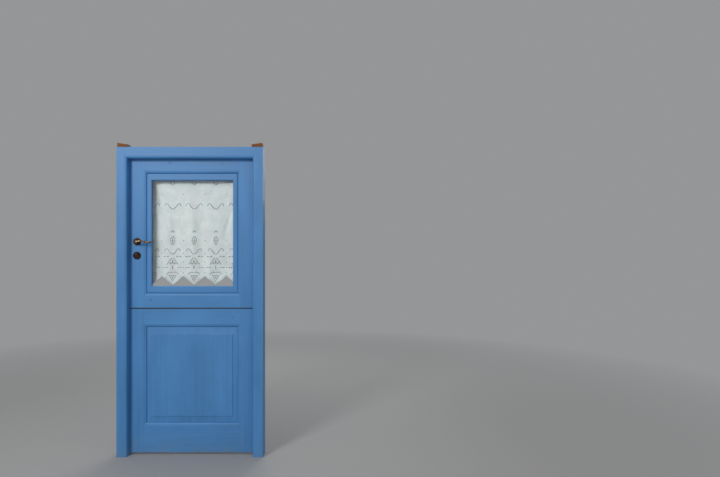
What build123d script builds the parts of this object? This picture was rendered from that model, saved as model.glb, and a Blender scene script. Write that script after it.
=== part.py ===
"""Dutch stable door: a frame with two leaves, one above the other, that open inward on their own hinges.

X runs to the right as seen from outside, Y runs inward through the wall and Z is up. The origin is
on the floor, at the middle of the door's width and of its whole depth.
"""
import os
from collections import namedtuple
from math import cos, pi, sin

from build123d import *

os.makedirs("parts", exist_ok=True)

# Frame
frame_width = 966
frame_height = 2050
jamb_face = 68
head_face = 75
reveal_depth = 56
rebate = 12
frame_edge_width = 17
frame_edge_depth = 15
frame_edge_radius = 14
frame_mitre = 24
head_tenon_length = 30
head_tenon_height = 26
head_tenon_thickness = 30

# Packers on the head's ends
packer_height = 26
packer_proud = 2
packer_length = 67
packer_depth = 60
packer_inset = 6
packer_taper = 9

# Leaves
leaf_thickness = 45
leaf_gap = 3
threshold_gap = 14
split_gap = 5
split_height = 977
stile_width = 103
lower_bottom_rail = 181
lower_top_rail = 105
upper_bottom_rail = 84
upper_top_rail = 87
eased_edge = 4

# Moulded edge worked on the stiles and rails, on both faces
moulding_width = 16
moulding_depth = 14
moulding_radius = 12

# Tenons of the rails
tenon_length = 60
tenon_thickness = 15
tenon_shoulder = 12
tenon_end_play = 2

# Raised panel
panel_groove = 12
panel_play = 2
panel_fit = 0.3
field_side_margin = 50.5
field_top_margin = 67.5
field_bottom_margin = 60
field_step = 4
bevel_rise = 7

# Glazing
glass_thickness = 6
glass_play = 2
glazing_strip = 12
sight_side_margin = 49
sight_end_margin = 62
glazing_groove_width = 10
glazing_groove_depth = 6.5
glazing_groove_radius = 5.5
sight_edge_width = 6
sight_edge_depth = 5
sight_edge_radius = 4

# Butt hinges
hinge_height = 100
hinge_leaf_width = 32
hinge_plate = 2.4
knuckle_radius = 6.5
knuckle_count = 5
knuckle_play = 0.4
knuckle_stand_off = 0.5
hinge_screw_step = 33
hinge_near_row = 0.35
hinge_far_row = 0.65
pin_radius = 3
pin_clearance = 0.05
pin_head_radius = 4.6
pin_head_height = 3
lower_hinge_foot = 136
lower_hinge_drop = 144.5
upper_hinge_foot = 150.5
upper_hinge_drop = 134

# Screws
screw_radius = 2
screw_head_radius = 4
screw_head_depth = 2
screw_length = 26
short_screw_length = 12
screw_play = 0.05

# Frame fixings
fixing_radius = 5.25
fixing_setback = 36
fixing_heights = (300, 1000, 1700)

# Lock
backset = 57
lever_height = 1424
lock_centres = 85
case_depth = 78
case_thickness = 15
case_below_cylinder = 30
case_above_lever = 42
case_play = 0.5
bolt_play = 0.3
bolt_thickness = 11
faceplate_width = 22
faceplate_thickness = 3
faceplate_overhang = 20
faceplate_screw_margin = 10

# Latch bolt and its follower
latch_rise = 22
latch_height = 18
latch_reach = 11
latch_head_length = 23
latch_tail_height = 8
latch_lug_width = 6
latch_lug_drop = 7
follower_radius = 9
follower_journal = 7.5
follower_arm_width = 5
follower_arm_reach = 17.4
lug_gap = 0.8
lever_travel = 11

# Dead bolt
dead_bolt_rise = 30
dead_bolt_height = 22
dead_bolt_length = 48
dead_bolt_throw = 20

# Lock cylinder
cylinder_radius = 8.5
cylinder_drop = 24.5
cylinder_tail_width = 10
cylinder_proud = 1
plug_radius = 6.5
plug_clearance = 0.05
cam_reach = 15
cam_width = 8
cam_length = 9.4
cam_slot = 10.4
keyway_width = 2
keyway_height = 8
keyway_depth = 15

# Strike plate
strike_width = 24
strike_thickness = 2.5
strike_foot_above_faceplate = 16
strike_top_below_faceplate = 2
strike_hole_play = 2
strike_pocket_width = 15
strike_pocket_play = 3

# Levers and roses
lever_reach = 116
lever_projection = 54
neck_radius = 9
neck_play = 0.4
neck_back_gap = 1
neck_edge = 3
grip_thickness = 10
grip_root_width = 15
grip_waist = 4
grip_wave = 4
grip_stations = 6
grip_thinning = 0.3
spindle_width = 8
spindle_stand_out = 30
rose_radius = 26
rose_thickness = 8
rose_edge = 3
cylinder_rose_radius = 25
cylinder_rose_drop = 8

# Slide bolts between the leaves and from the lower leaf to the jamb
bolt_radius = 6
bolt_play_round = 0.06
bolt_axis_height = 11.5
bolt_tip_setback = 5
bolt_throw = 30
bolt_tip_chamfer = 1.5
near_staple_setback = 8
staple_length = 12
staple_wall = 3.5
knob_radius = 4
knob_height = 16
knob_clearance = 2
bolt_plate_width = 34
bolt_plate_thickness = 2.5
bolt_plate_end = 4
keeper_setback = 10
keeper_length = 34
keeper_staple_offset = 3
keeper_bore_play = 0.5
bolt_screw_margin = 6
joining_bolt_inset = 54
side_bolt_drop = 124.5

# Curtain and its rod
rod_radius = 5
rod_stand_off = 16
rod_drop = 50
rod_overhang = 12
bracket_inset = 17
bracket_width = 8
bracket_height = 34
bracket_plate = 3
bracket_ring = 3
bracket_play = 0.05
bracket_screw_step = 11.5
curtain_overlap = 20
curtain_thickness = 1.6
curtain_fold_depth = 3
curtain_lift = 4.5
hem_points = 4
hem_peak = 58
fold_points = 4
sleeve_play = 0.3
sleeve_wall = 1.2

# Room that a cutter takes beyond a face
over = 1

# Places worked out from the sizes above
frame_depth = reveal_depth + leaf_thickness
total_depth = packer_proud + frame_depth + lever_projection
frame_front = packer_proud - total_depth / 2
frame_back = frame_front + frame_depth
leaf_front = frame_front + reveal_depth
leaf_back = leaf_front + leaf_thickness
leaf_middle = (leaf_front + leaf_back) / 2

frame_half = frame_width / 2
opening_half = frame_half - jamb_face
opening_top = frame_height - head_face
rebate_half = opening_half + rebate
rebate_top = opening_top + rebate
leaf_half = rebate_half - leaf_gap
leaf_top = rebate_top - leaf_gap

hinge_x = leaf_half + leaf_gap / 2
hinge_y = leaf_back + knuckle_radius + knuckle_stand_off
lever_x = -leaf_half + backset
cylinder_height = lever_height - lock_centres
case_low = cylinder_height - case_below_cylinder
case_high = lever_height + case_above_lever
faceplate_low = case_low - faceplate_overhang
faceplate_high = case_high + faceplate_overhang
strike_low = faceplate_low + strike_foot_above_faceplate
strike_high = faceplate_high - strike_top_below_faceplate
latch_height_centre = lever_height + latch_rise
dead_bolt_centre = cylinder_height + dead_bolt_rise
rod_y = leaf_back + rod_stand_off

Leaf = namedtuple("Leaf", "low high opening_low opening_high")
lower = Leaf(
    threshold_gap,
    split_height - split_gap / 2,
    threshold_gap + lower_bottom_rail,
    split_height - split_gap / 2 - lower_top_rail,
)
upper = Leaf(
    split_height + split_gap / 2,
    leaf_top,
    split_height + split_gap / 2 + upper_bottom_rail,
    leaf_top - upper_top_rail,
)
opening_x = leaf_half - stile_width
moulded_x = opening_x - moulding_width
sight_x = opening_x - sight_side_margin
sight_low = upper.opening_low + sight_end_margin
sight_high = upper.opening_high - sight_end_margin

lower_hinge_heights = (lower.low + lower_hinge_foot, lower.high - lower_hinge_drop)
upper_hinge_heights = (upper.low + upper_hinge_foot, upper.high - upper_hinge_drop)
joining_bolt_x = -leaf_half + joining_bolt_inset
side_bolt_height = lower.high - side_bolt_drop

bracket_x = opening_x + bracket_inset
rod_half_length = bracket_x + rod_overhang
rod_z = upper.opening_high - rod_drop
curtain_half_width = sight_x + curtain_overlap
curtain_low = sight_low + curtain_lift
hem_pitch = 2 * curtain_half_width / hem_points

INTO = 1
OUT = -1


def front_view(y):
    """Plane of a drawing seen from outside, at depth y, with X across and Z up."""
    return Plane.XZ.offset(-y)


def block(x, y, z, mode=Mode.ADD):
    """Box between the lowest and highest X, Y and Z given."""
    centre = ((x[0] + x[1]) / 2, (y[0] + y[1]) / 2, (z[0] + z[1]) / 2)
    with Locations(centre):
        Box(x[1] - x[0], y[1] - y[0], z[1] - z[0], mode=mode)


def board(outline, front, back):
    """Board with a front-view outline, between two depths."""
    with BuildSketch(front_view(front)) as face:
        with BuildLine():
            Polyline(*outline, close=True)
        make_face()
    extrude(face.sketch, amount=front - back)


def ovolo_cut(half, low, high, face, depth_way, width, depth, radius, inward=True):
    """Works an ovolo round a rectangle, starting on its line and sloping into the depth."""
    across = 1 if inward else -1
    down = -depth_way * across
    with BuildLine() as edge_line:
        Polyline(
            (0, face, low), (half, face, low), (half, face, high),
            (-half, face, high), (-half, face, low), close=True,
        )
    flat = width - radius
    quirk = depth - radius
    section_plane = Plane(origin=(0, face, low), x_dir=(0, 0, across), z_dir=(1, 0, 0))
    with BuildSketch(section_plane) as section:
        with BuildLine():
            Polyline(
                (width, down * depth), (width + over, down * depth), (width + over, -down * over),
                (0, -down * over), (0, down * quirk), (flat, down * quirk),
            )
            CenterArc((flat, down * depth), radius, 0, -down * 90)
        make_face()
    sweep(
        section.sketch, path=edge_line.wire(), transition=Transition.RIGHT, mode=Mode.SUBTRACT
    )


def sticking(leaf):
    """Moulded edge round a leaf's opening, on its outer and inner face."""
    for face, way in ((leaf_front, INTO), (leaf_back, OUT)):
        ovolo_cut(
            opening_x, leaf.opening_low, leaf.opening_high, face, way,
            moulding_width, moulding_depth, moulding_radius,
        )


def screw_places(points, direction):
    """Where screws sit: head at each point, shank along the direction."""
    return [Plane(origin=point, z_dir=direction) for point in points]


def screw_set(places, length=screw_length):
    """Countersunk screws at the places."""
    with Locations(*places):
        Cylinder(screw_radius, length, align=(Align.CENTER, Align.CENTER, Align.MIN))
        Cone(
            screw_head_radius, screw_radius, screw_head_depth,
            align=(Align.CENTER, Align.CENTER, Align.MIN),
        )


def screw_bores(places, length=screw_length):
    """Countersunk bores for the screws at the places."""
    with Locations(*places):
        Cylinder(
            screw_radius + screw_play, length + over,
            align=(Align.CENTER, Align.CENTER, Align.MIN), mode=Mode.SUBTRACT,
        )
        Cone(
            screw_head_radius + screw_play, screw_radius + screw_play, screw_head_depth,
            align=(Align.CENTER, Align.CENTER, Align.MIN), mode=Mode.SUBTRACT,
        )


def keep(piece, name):
    """Labels a finished piece and writes it."""
    piece.part.label = name
    export_step(piece.part, f"parts/{name}.step")


# Hinges

def hinge_screws(height, fixed):
    """Screws through one plate of the hinge at this height."""
    side = 1 if fixed else -1
    points = [
        (hinge_x + side * leaf_gap / 2, leaf_back - hinge_leaf_width * share, height + shift)
        for share, shift in (
            (hinge_near_row, -hinge_screw_step), (hinge_far_row, 0),
            (hinge_near_row, hinge_screw_step),
        )
    ]
    return screw_places(points, (side, 0, 0))


def hinge_seat(height, fixed, mode=Mode.SUBTRACT):
    """Room of one hinge plate, let into the wood."""
    side = 1 if fixed else -1
    near = hinge_x + side * leaf_gap / 2
    far = near + side * hinge_plate
    block(
        (min(near, far), max(near, far)), (leaf_back - hinge_leaf_width, leaf_back),
        (height - hinge_height / 2, height + hinge_height / 2), mode,
    )


def hinge_half(height, fixed):
    """One plate of a butt hinge with its knuckles: outer three if fixed, inner two if it swings."""
    side = 1 if fixed else -1
    pitch = hinge_height / knuckle_count
    first = 0 if fixed else 1
    with BuildPart() as half:
        hinge_seat(height, fixed, Mode.ADD)
        for index in range(first, knuckle_count, 2):
            foot = height - hinge_height / 2 + index * pitch + knuckle_play / 2
            with BuildSketch(Plane.XY.offset(foot)):
                with Locations((hinge_x, hinge_y)):
                    Circle(knuckle_radius)
                neck_x = hinge_x + side * (leaf_gap + hinge_plate) / 2
                with Locations((neck_x, (leaf_back + hinge_y) / 2)):
                    Rectangle(hinge_plate, hinge_y - leaf_back)
            extrude(amount=pitch - knuckle_play)
        with Locations((hinge_x, hinge_y, height)):
            Cylinder(pin_radius + pin_clearance, hinge_height + over, mode=Mode.SUBTRACT)
        screw_bores(hinge_screws(height, fixed))
    return half


hinges = {
    "lower_leaf_bottom_hinge": lower_hinge_heights[0],
    "lower_leaf_top_hinge": lower_hinge_heights[1],
    "upper_leaf_bottom_hinge": upper_hinge_heights[0],
    "upper_leaf_top_hinge": upper_hinge_heights[1],
}
for hinge_name, hinge_z in hinges.items():
    keep(hinge_half(hinge_z, True), f"{hinge_name}_fixed_half")
    keep(hinge_half(hinge_z, False), f"{hinge_name}_swinging_half")

with BuildPart() as hinge_pins:
    for hinge_z in hinges.values():
        with Locations((hinge_x, hinge_y, hinge_z)):
            Cylinder(pin_radius, hinge_height)
        for end, fit in ((1, Align.MIN), (-1, Align.MAX)):
            with Locations((hinge_x, hinge_y, hinge_z + end * hinge_height / 2)):
                Cylinder(pin_head_radius, pin_head_height, align=(Align.CENTER, Align.CENTER, fit))
keep(hinge_pins, "hinge_pins")


# Frame

def strike_screws():
    """Screws at the strike plate's ends."""
    margin = faceplate_screw_margin
    points = [(-rebate_half, leaf_middle, z) for z in (strike_low + margin, strike_high - margin)]
    return screw_places(points, (-1, 0, 0))


def side_keeper_plane():
    """Plane of the side bolt on the frame's inner face: X along the throw, from the leaf's edge."""
    return Plane(origin=(-leaf_half, leaf_back, side_bolt_height), x_dir=(-1, 0, 0), z_dir=(0, 1, 0))


def joining_plane():
    """Plane of the joining bolt on the leaves' inner face: X down along the throw, from the split."""
    return Plane(origin=(joining_bolt_x, leaf_back, upper.low), x_dir=(0, 0, -1), z_dir=(0, 1, 0))


def keeper_screws(plane):
    """Screws of a slide bolt's keeper."""
    x = keeper_setback + keeper_length - bolt_screw_margin
    y = bolt_plate_width / 2 - bolt_screw_margin
    points = [
        plane.from_local_coords((x, side * y, bolt_plate_thickness)) for side in (-1, 1)
    ]
    return screw_places(points, (0, -1, 0))


def strike_holes(back, mode=Mode.SUBTRACT):
    """Openings for the latch bolt and the dead bolt, from the rebate to the depths given."""
    pairs = ((latch_height_centre, latch_height, back[0]), (dead_bolt_centre, dead_bolt_height, back[1]))
    for centre, height, depth in pairs:
        block(
            (-rebate_half - depth, -rebate_half + over),
            (leaf_middle - strike_pocket_width / 2, leaf_middle + strike_pocket_width / 2),
            (centre - height / 2 - strike_hole_play, centre + height / 2 + strike_hole_play), mode,
        )


def strike_seat(mode=Mode.SUBTRACT):
    """Room of the strike plate in the jamb's rebate."""
    block(
        (-rebate_half - strike_thickness, -rebate_half),
        (leaf_middle - strike_width / 2, leaf_middle + strike_width / 2),
        (strike_low, strike_high), mode,
    )


def frame_mouldings():
    """Rebate for the leaves and the moulded inner edge of the frame's outer face."""
    block(
        (-rebate_half, rebate_half), (leaf_front, frame_back + over), (-over, rebate_top),
        Mode.SUBTRACT,
    )
    ovolo_cut(
        opening_half + frame_edge_width, -frame_height, opening_top + frame_edge_width, frame_front,
        INTO, frame_edge_width, frame_edge_depth, frame_edge_radius,
    )


def head_tenon(side, play, mode):
    """Tenon of the head, or with play its mortise in a jamb."""
    root = opening_half + frame_mitre
    ends = (side * root, side * (root + head_tenon_length + play))
    middle_z = (opening_top + frame_mitre + frame_height) / 2
    middle_y = (frame_front + frame_back) / 2
    block(
        (min(ends), max(ends)),
        (middle_y - head_tenon_thickness / 2, middle_y + head_tenon_thickness / 2),
        (middle_z - head_tenon_height / 2, middle_z + head_tenon_height / 2), mode,
    )


def jamb(side):
    """One jamb's board, with its rebate, moulded edge, mortise and fixing holes."""
    outline = [
        (side * frame_half, 0), (side * opening_half, 0), (side * opening_half, opening_top),
        (side * (opening_half + frame_mitre), opening_top + frame_mitre),
        (side * (opening_half + frame_mitre), frame_height), (side * frame_half, frame_height),
    ]
    board(outline, frame_front, frame_back)
    frame_mouldings()
    head_tenon(side, tenon_end_play, Mode.SUBTRACT)
    for z in fixing_heights:
        with Locations(Plane(origin=(0, frame_front + fixing_setback, z), z_dir=(side, 0, 0))):
            Cylinder(
                fixing_radius, frame_width, align=(Align.CENTER, Align.CENTER, Align.MIN),
                mode=Mode.SUBTRACT,
            )


with BuildPart() as left_jamb:
    jamb(-1)
    strike_seat()
    strike_holes((latch_reach + strike_pocket_play, dead_bolt_throw + strike_pocket_play))
    screw_bores(strike_screws())
    screw_bores(keeper_screws(side_keeper_plane()), short_screw_length)
keep(left_jamb, "left_jamb")

with BuildPart() as right_jamb:
    jamb(1)
    for hinge_z in hinges.values():
        hinge_seat(hinge_z, True)
        screw_bores(hinge_screws(hinge_z, True))
keep(right_jamb, "right_jamb")

with BuildPart() as frame_head:
    mitre_x = opening_half + frame_mitre
    board(
        [
            (-mitre_x, frame_height), (mitre_x, frame_height),
            (mitre_x, opening_top + frame_mitre), (opening_half, opening_top),
            (-opening_half, opening_top), (-mitre_x, opening_top + frame_mitre),
        ],
        frame_front, frame_back,
    )
    frame_mouldings()
    for side in (-1, 1):
        head_tenon(side, 0, Mode.ADD)
keep(frame_head, "frame_head")

for side, packer_name in ((-1, "left_packer"), (1, "right_packer")):
    with BuildPart() as packer:
        outer = frame_half - packer_inset
        inner = outer - packer_length
        board(
            [
                (side * outer, frame_height), (side * inner, frame_height),
                (side * inner, frame_height + packer_height - packer_taper),
                (side * outer, frame_height + packer_height),
            ],
            frame_front - packer_proud, frame_front - packer_proud + packer_depth,
        )
    keep(packer, packer_name)

with BuildPart() as strike_plate:
    strike_seat(Mode.ADD)
    strike_holes((strike_thickness + over, strike_thickness + over))
    screw_bores(strike_screws())
keep(strike_plate, "strike_plate")


# Slide bolts, drawn in the plane of their own throw

def staple(plane, start, length, bore):
    """Arched staple that holds a round bolt, standing on the plate."""
    origin = plane.from_local_coords((start, 0, 0))
    section_plane = Plane(origin=origin, x_dir=plane.y_dir, z_dir=plane.x_dir)
    with BuildSketch(section_plane) as section:
        with Locations((0, bolt_axis_height)):
            Circle(bolt_radius + staple_wall)
        with Locations((0, bolt_axis_height / 2)):
            Rectangle(2 * (bolt_radius + staple_wall), bolt_axis_height)
        with Locations((0, bolt_axis_height)):
            Circle(bore, mode=Mode.SUBTRACT)
    extrude(section.sketch, amount=length)


def flat_plate(plane, start, end):
    """Flat plate of a slide bolt or keeper."""
    with BuildSketch(plane) as face:
        with Locations(((start + end) / 2, 0)):
            Rectangle(end - start, bolt_plate_width)
    extrude(face.sketch, amount=bolt_plate_thickness)


near_staple = -near_staple_setback - staple_length
far_staple = near_staple - bolt_throw - 2 * (knob_radius + knob_clearance) - staple_length
knob_place = far_staple + staple_length + knob_clearance + knob_radius
bolt_tail = far_staple - bolt_throw


def plate_screws(plane):
    """Screws of a slide bolt's plate."""
    y = bolt_plate_width / 2 - bolt_screw_margin
    x = (near_staple + far_staple + staple_length) / 2
    points = [plane.from_local_coords((x, side * y, bolt_plate_thickness)) for side in (-1, 1)]
    return screw_places(points, (0, -1, 0))


def bolt_plate(plane):
    """Plate of a slide bolt with its two staples."""
    with BuildPart() as plate:
        flat_plate(plane, far_staple - bolt_plate_end, -bolt_plate_end)
        for start in (near_staple, far_staple):
            staple(plane, start, staple_length, bolt_radius + bolt_play_round)
        screw_bores(plate_screws(plane), short_screw_length)
    return plate


def bolt_keeper(plane):
    """Keeper of a slide bolt with its staple."""
    with BuildPart() as keeper:
        flat_plate(plane, keeper_setback, keeper_setback + keeper_length)
        start = keeper_setback + keeper_staple_offset
        staple(plane, start, staple_length, bolt_radius + keeper_bore_play)
        screw_bores(keeper_screws(plane), short_screw_length)
    return keeper


def round_bolt(plane):
    """Round bolt with its knob."""
    tail = plane.from_local_coords((bolt_tail, 0, bolt_axis_height))
    knob = plane.from_local_coords((knob_place, 0, bolt_axis_height))
    with BuildPart() as rod:
        with BuildSketch(Plane(origin=tail, x_dir=plane.y_dir, z_dir=plane.x_dir)):
            Circle(bolt_radius)
        extrude(amount=-bolt_tip_setback - bolt_tail)
        chamfer(edges().filter_by(GeomType.CIRCLE), bolt_tip_chamfer)
        with BuildSketch(Plane(origin=knob, x_dir=plane.x_dir, z_dir=plane.z_dir)):
            Circle(knob_radius)
        extrude(amount=knob_height)
        fillet(faces().sort_by(Axis.Y)[-1].edges(), knob_radius / 2)
    return rod


keep(bolt_keeper(side_keeper_plane()), "side_bolt_keeper")
keep(bolt_plate(side_keeper_plane()), "side_bolt_plate")
keep(round_bolt(side_keeper_plane()), "side_bolt")
keep(bolt_keeper(joining_plane()), "joining_bolt_keeper")
keep(bolt_plate(joining_plane()), "joining_bolt_plate")
keep(round_bolt(joining_plane()), "joining_bolt")


# Leaves

def rail_tenon(side, low, high, play, mode):
    """Tenon of a rail between two heights, or with play its mortise in a stile."""
    ends = (side * opening_x, side * (opening_x + tenon_length + play))
    block(
        (min(ends), max(ends)),
        (leaf_middle - tenon_thickness / 2, leaf_middle + tenon_thickness / 2),
        (low + tenon_shoulder, high - tenon_shoulder), mode,
    )


def panel_room():
    """Groove for the raised panel in the lower leaf's stiles and rails."""
    block(
        (-moulded_x - panel_groove, moulded_x + panel_groove),
        (leaf_front + moulding_depth, leaf_back - moulding_depth),
        (
            lower.opening_low + moulding_width - panel_groove,
            lower.opening_high - moulding_width + panel_groove,
        ),
        Mode.SUBTRACT,
    )


def stile(leaf, side):
    """One upright of a leaf, with its moulded edge and the rails' mortises."""
    outline = [
        (side * leaf_half, leaf.low), (side * opening_x, leaf.low),
        (side * opening_x, leaf.opening_low),
        (side * moulded_x, leaf.opening_low + moulding_width),
        (side * moulded_x, leaf.opening_high - moulding_width),
        (side * opening_x, leaf.opening_high), (side * opening_x, leaf.high),
        (side * leaf_half, leaf.high),
    ]
    board(outline, leaf_front, leaf_back)
    ease_split(leaf)
    sticking(leaf)
    rail_tenon(side, leaf.low, leaf.opening_low, tenon_end_play, Mode.SUBTRACT)
    rail_tenon(side, leaf.opening_high, leaf.high, tenon_end_play, Mode.SUBTRACT)


def rail(leaf, outer, inner, low, high):
    """One rail of a leaf from its outer edge to its moulded edge, with a tenon at each end."""
    towards = 1 if inner > outer else -1
    outline = [
        (-opening_x, outer), (opening_x, outer), (opening_x, inner),
        (moulded_x, inner + towards * moulding_width),
        (-moulded_x, inner + towards * moulding_width), (-opening_x, inner),
    ]
    board(outline, leaf_front, leaf_back)
    ease_split(leaf)
    sticking(leaf)
    for side in (-1, 1):
        rail_tenon(side, low, high, 0, Mode.ADD)


def ease_split(leaf):
    """Eases the edges on the side where the two leaves meet."""
    if leaf is upper:
        meeting = faces().filter_by(Plane.XY).sort_by(Axis.Z)[0]
        meeting_z = leaf.low
    else:
        meeting = faces().filter_by(Plane.XY).sort_by(Axis.Z)[-1]
        meeting_z = leaf.high
    if abs(meeting.center().Z - meeting_z) < over:
        chamfer(meeting.edges().filter_by(Axis.X), eased_edge)


with BuildPart() as lower_left_stile:
    stile(lower, -1)
    panel_room()
    screw_bores(plate_screws(side_keeper_plane()), short_screw_length)
    screw_bores(keeper_screws(joining_plane()), short_screw_length)
keep(lower_left_stile, "lower_left_stile")

with BuildPart() as lower_right_stile:
    stile(lower, 1)
    panel_room()
    for hinge_z in lower_hinge_heights:
        hinge_seat(hinge_z, False)
        screw_bores(hinge_screws(hinge_z, False))
keep(lower_right_stile, "lower_right_stile")

with BuildPart() as lower_leaf_top_rail:
    rail(lower, lower.high, lower.opening_high, lower.opening_high, lower.high)
    panel_room()
keep(lower_leaf_top_rail, "lower_leaf_top_rail")

with BuildPart() as lower_leaf_bottom_rail:
    rail(lower, lower.low, lower.opening_low, lower.low, lower.opening_low)
    panel_room()
keep(lower_leaf_bottom_rail, "lower_leaf_bottom_rail")

field_x = opening_x - field_side_margin
field_low = lower.opening_low + field_bottom_margin
field_high = lower.opening_high - field_top_margin


def raised_face(face, way):
    """Bevelled border and raised field on one face of the panel."""
    foot = face + way * moulding_depth
    shoulder = foot - way * bevel_rise
    with BuildSketch(front_view(foot)) as border:
        with Locations((0, (lower.opening_low + lower.opening_high) / 2)):
            Rectangle(2 * moulded_x, lower.opening_high - lower.opening_low - 2 * moulding_width)
    with BuildSketch(front_view(shoulder)) as field:
        with Locations((0, (field_low + field_high) / 2)):
            Rectangle(2 * field_x, field_high - field_low)
    loft([border.sketch, field.sketch])
    block(
        (-field_x, field_x), tuple(sorted((shoulder, shoulder - way * field_step))),
        (field_low, field_high),
    )


with BuildPart() as raised_panel:
    reach = panel_groove - panel_play
    block(
        (-moulded_x - reach, moulded_x + reach),
        (leaf_front + moulding_depth + panel_fit, leaf_back - moulding_depth - panel_fit),
        (
            lower.opening_low + moulding_width - reach,
            lower.opening_high - moulding_width + reach,
        ),
    )
    for panel_face, panel_way in ((leaf_front, INTO), (leaf_back, OUT)):
        raised_face(panel_face + panel_way * panel_fit, panel_way)
keep(raised_panel, "raised_panel")


# Lock pieces in the upper leaf's left stile

def faceplate_screws():
    """Screws at the ends of the lock's faceplate."""
    margin = faceplate_screw_margin
    points = [(-leaf_half, leaf_middle, z) for z in (faceplate_low + margin, faceplate_high - margin)]
    return screw_places(points, (1, 0, 0))


def faceplate_seat(mode=Mode.SUBTRACT):
    """Room of the faceplate, let into the leaf's edge, with round ends."""
    middle = (faceplate_low + faceplate_high) / 2
    edge_plane = Plane(origin=(-leaf_half, leaf_middle, middle), x_dir=(0, 0, 1), z_dir=(1, 0, 0))
    with BuildSketch(edge_plane) as face:
        SlotOverall(faceplate_high - faceplate_low, faceplate_width)
    extrude(face.sketch, amount=faceplate_thickness, mode=mode)


def bolt_room(centre, height, start, end, mode=Mode.SUBTRACT):
    """Straight channel that a bolt slides in, with its play, between two X."""
    block(
        (start, end),
        (leaf_middle - bolt_thickness / 2 - bolt_play, leaf_middle + bolt_thickness / 2 + bolt_play),
        (centre - height / 2 - bolt_play, centre + height / 2 + bolt_play), mode,
    )


def cylinder_profile(play):
    """Outline of the lock cylinder, as a round head with a narrow tail below."""
    with Locations((lever_x, cylinder_height)):
        Circle(cylinder_radius + play)
    tail = cylinder_drop - cylinder_tail_width / 2
    with Locations((lever_x, cylinder_height - tail / 2)):
        Rectangle(cylinder_tail_width + 2 * play, tail)
    with Locations((lever_x, cylinder_height - tail)):
        Circle(cylinder_tail_width / 2 + play)


def through_profile(front, back, play):
    """Cuts the lock cylinder's outline between two depths."""
    with BuildSketch(front_view(front)) as section:
        cylinder_profile(play)
    extrude(section.sketch, amount=front - back, mode=Mode.SUBTRACT)


def across_bore(x, z, radius, front, back, mode=Mode.SUBTRACT):
    """Round bore along Y between two depths."""
    with BuildSketch(front_view(front)) as section:
        with Locations((x, z)):
            Circle(radius)
    extrude(section.sketch, amount=front - back, mode=mode)


def bracket_screws():
    """Screws of the rod's brackets."""
    points = [
        (side * bracket_x, leaf_back + bracket_plate, rod_z + end * bracket_screw_step)
        for side in (-1, 1) for end in (-1, 1)
    ]
    return screw_places(points, (0, -1, 0))


case_front = leaf_middle - case_thickness / 2
case_back = leaf_middle + case_thickness / 2
case_left = -leaf_half + faceplate_thickness
case_right = case_left + case_depth
inside_front = leaf_middle - bolt_thickness / 2 - bolt_play
inside_back = leaf_middle + bolt_thickness / 2 + bolt_play
tail_top = latch_height_centre + latch_tail_height / 2
tail_bottom = latch_height_centre - latch_tail_height / 2
lug_left = lever_x + follower_arm_width / 2 + lug_gap
lug_right = lug_left + latch_lug_width

with BuildPart() as upper_left_stile:
    stile(upper, -1)
    faceplate_seat()
    screw_bores(faceplate_screws())
    block(
        (case_left - over, case_right + case_play),
        (case_front - case_play, case_back + case_play),
        (case_low - case_play, case_high + case_play), Mode.SUBTRACT,
    )
    across_bore(lever_x, lever_height, neck_radius + 2 * over, leaf_front - over, leaf_back + over)
    through_profile(leaf_front - over, leaf_back + over, case_play)
    screw_bores(plate_screws(joining_plane()), short_screw_length)
    screw_bores(bracket_screws(), short_screw_length)
keep(upper_left_stile, "upper_left_stile")

with BuildPart() as upper_right_stile:
    stile(upper, 1)
    for hinge_z in upper_hinge_heights:
        hinge_seat(hinge_z, False)
        screw_bores(hinge_screws(hinge_z, False))
    screw_bores(bracket_screws(), short_screw_length)
keep(upper_right_stile, "upper_right_stile")

with BuildPart() as upper_leaf_top_rail:
    rail(upper, upper.high, upper.opening_high, upper.opening_high, upper.high)
keep(upper_leaf_top_rail, "upper_leaf_top_rail")

with BuildPart() as upper_leaf_bottom_rail:
    rail(upper, upper.low, upper.opening_low, upper.low, upper.opening_low)
keep(upper_leaf_bottom_rail, "upper_leaf_bottom_rail")

with BuildPart() as lock_case:
    block((case_left, case_right), (case_front, case_back), (case_low, case_high))
    bolt_room(
        latch_height_centre, latch_height, case_left - over,
        -leaf_half - latch_reach + latch_head_length + lever_travel + over,
    )
    bolt_room(latch_height_centre, latch_tail_height, case_left, lug_right + lever_travel + over)
    block(
        (lever_x - follower_radius - over, lug_right + lever_travel + over),
        (inside_front, inside_back),
        (lever_height - follower_radius - over, tail_bottom), Mode.SUBTRACT,
    )
    across_bore(
        lever_x, lever_height, follower_journal + pin_clearance, case_front - over, case_back + over
    )
    dead_bolt_back = -leaf_half + dead_bolt_length + over
    bolt_room(dead_bolt_centre, dead_bolt_height, case_left - over, dead_bolt_back)
    across_bore(lever_x, cylinder_height, cam_reach + case_play, inside_front, inside_back)
    through_profile(case_front - over, case_back + over, bolt_play)
keep(lock_case, "lock_case")

with BuildPart() as lock_faceplate:
    faceplate_seat(Mode.ADD)
    for bolt_centre, bolt_height in (
        (latch_height_centre, latch_height), (dead_bolt_centre, dead_bolt_height)
    ):
        bolt_room(bolt_centre, bolt_height, -leaf_half - over, case_left + over)
    screw_bores(faceplate_screws())
keep(lock_faceplate, "lock_faceplate")

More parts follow.
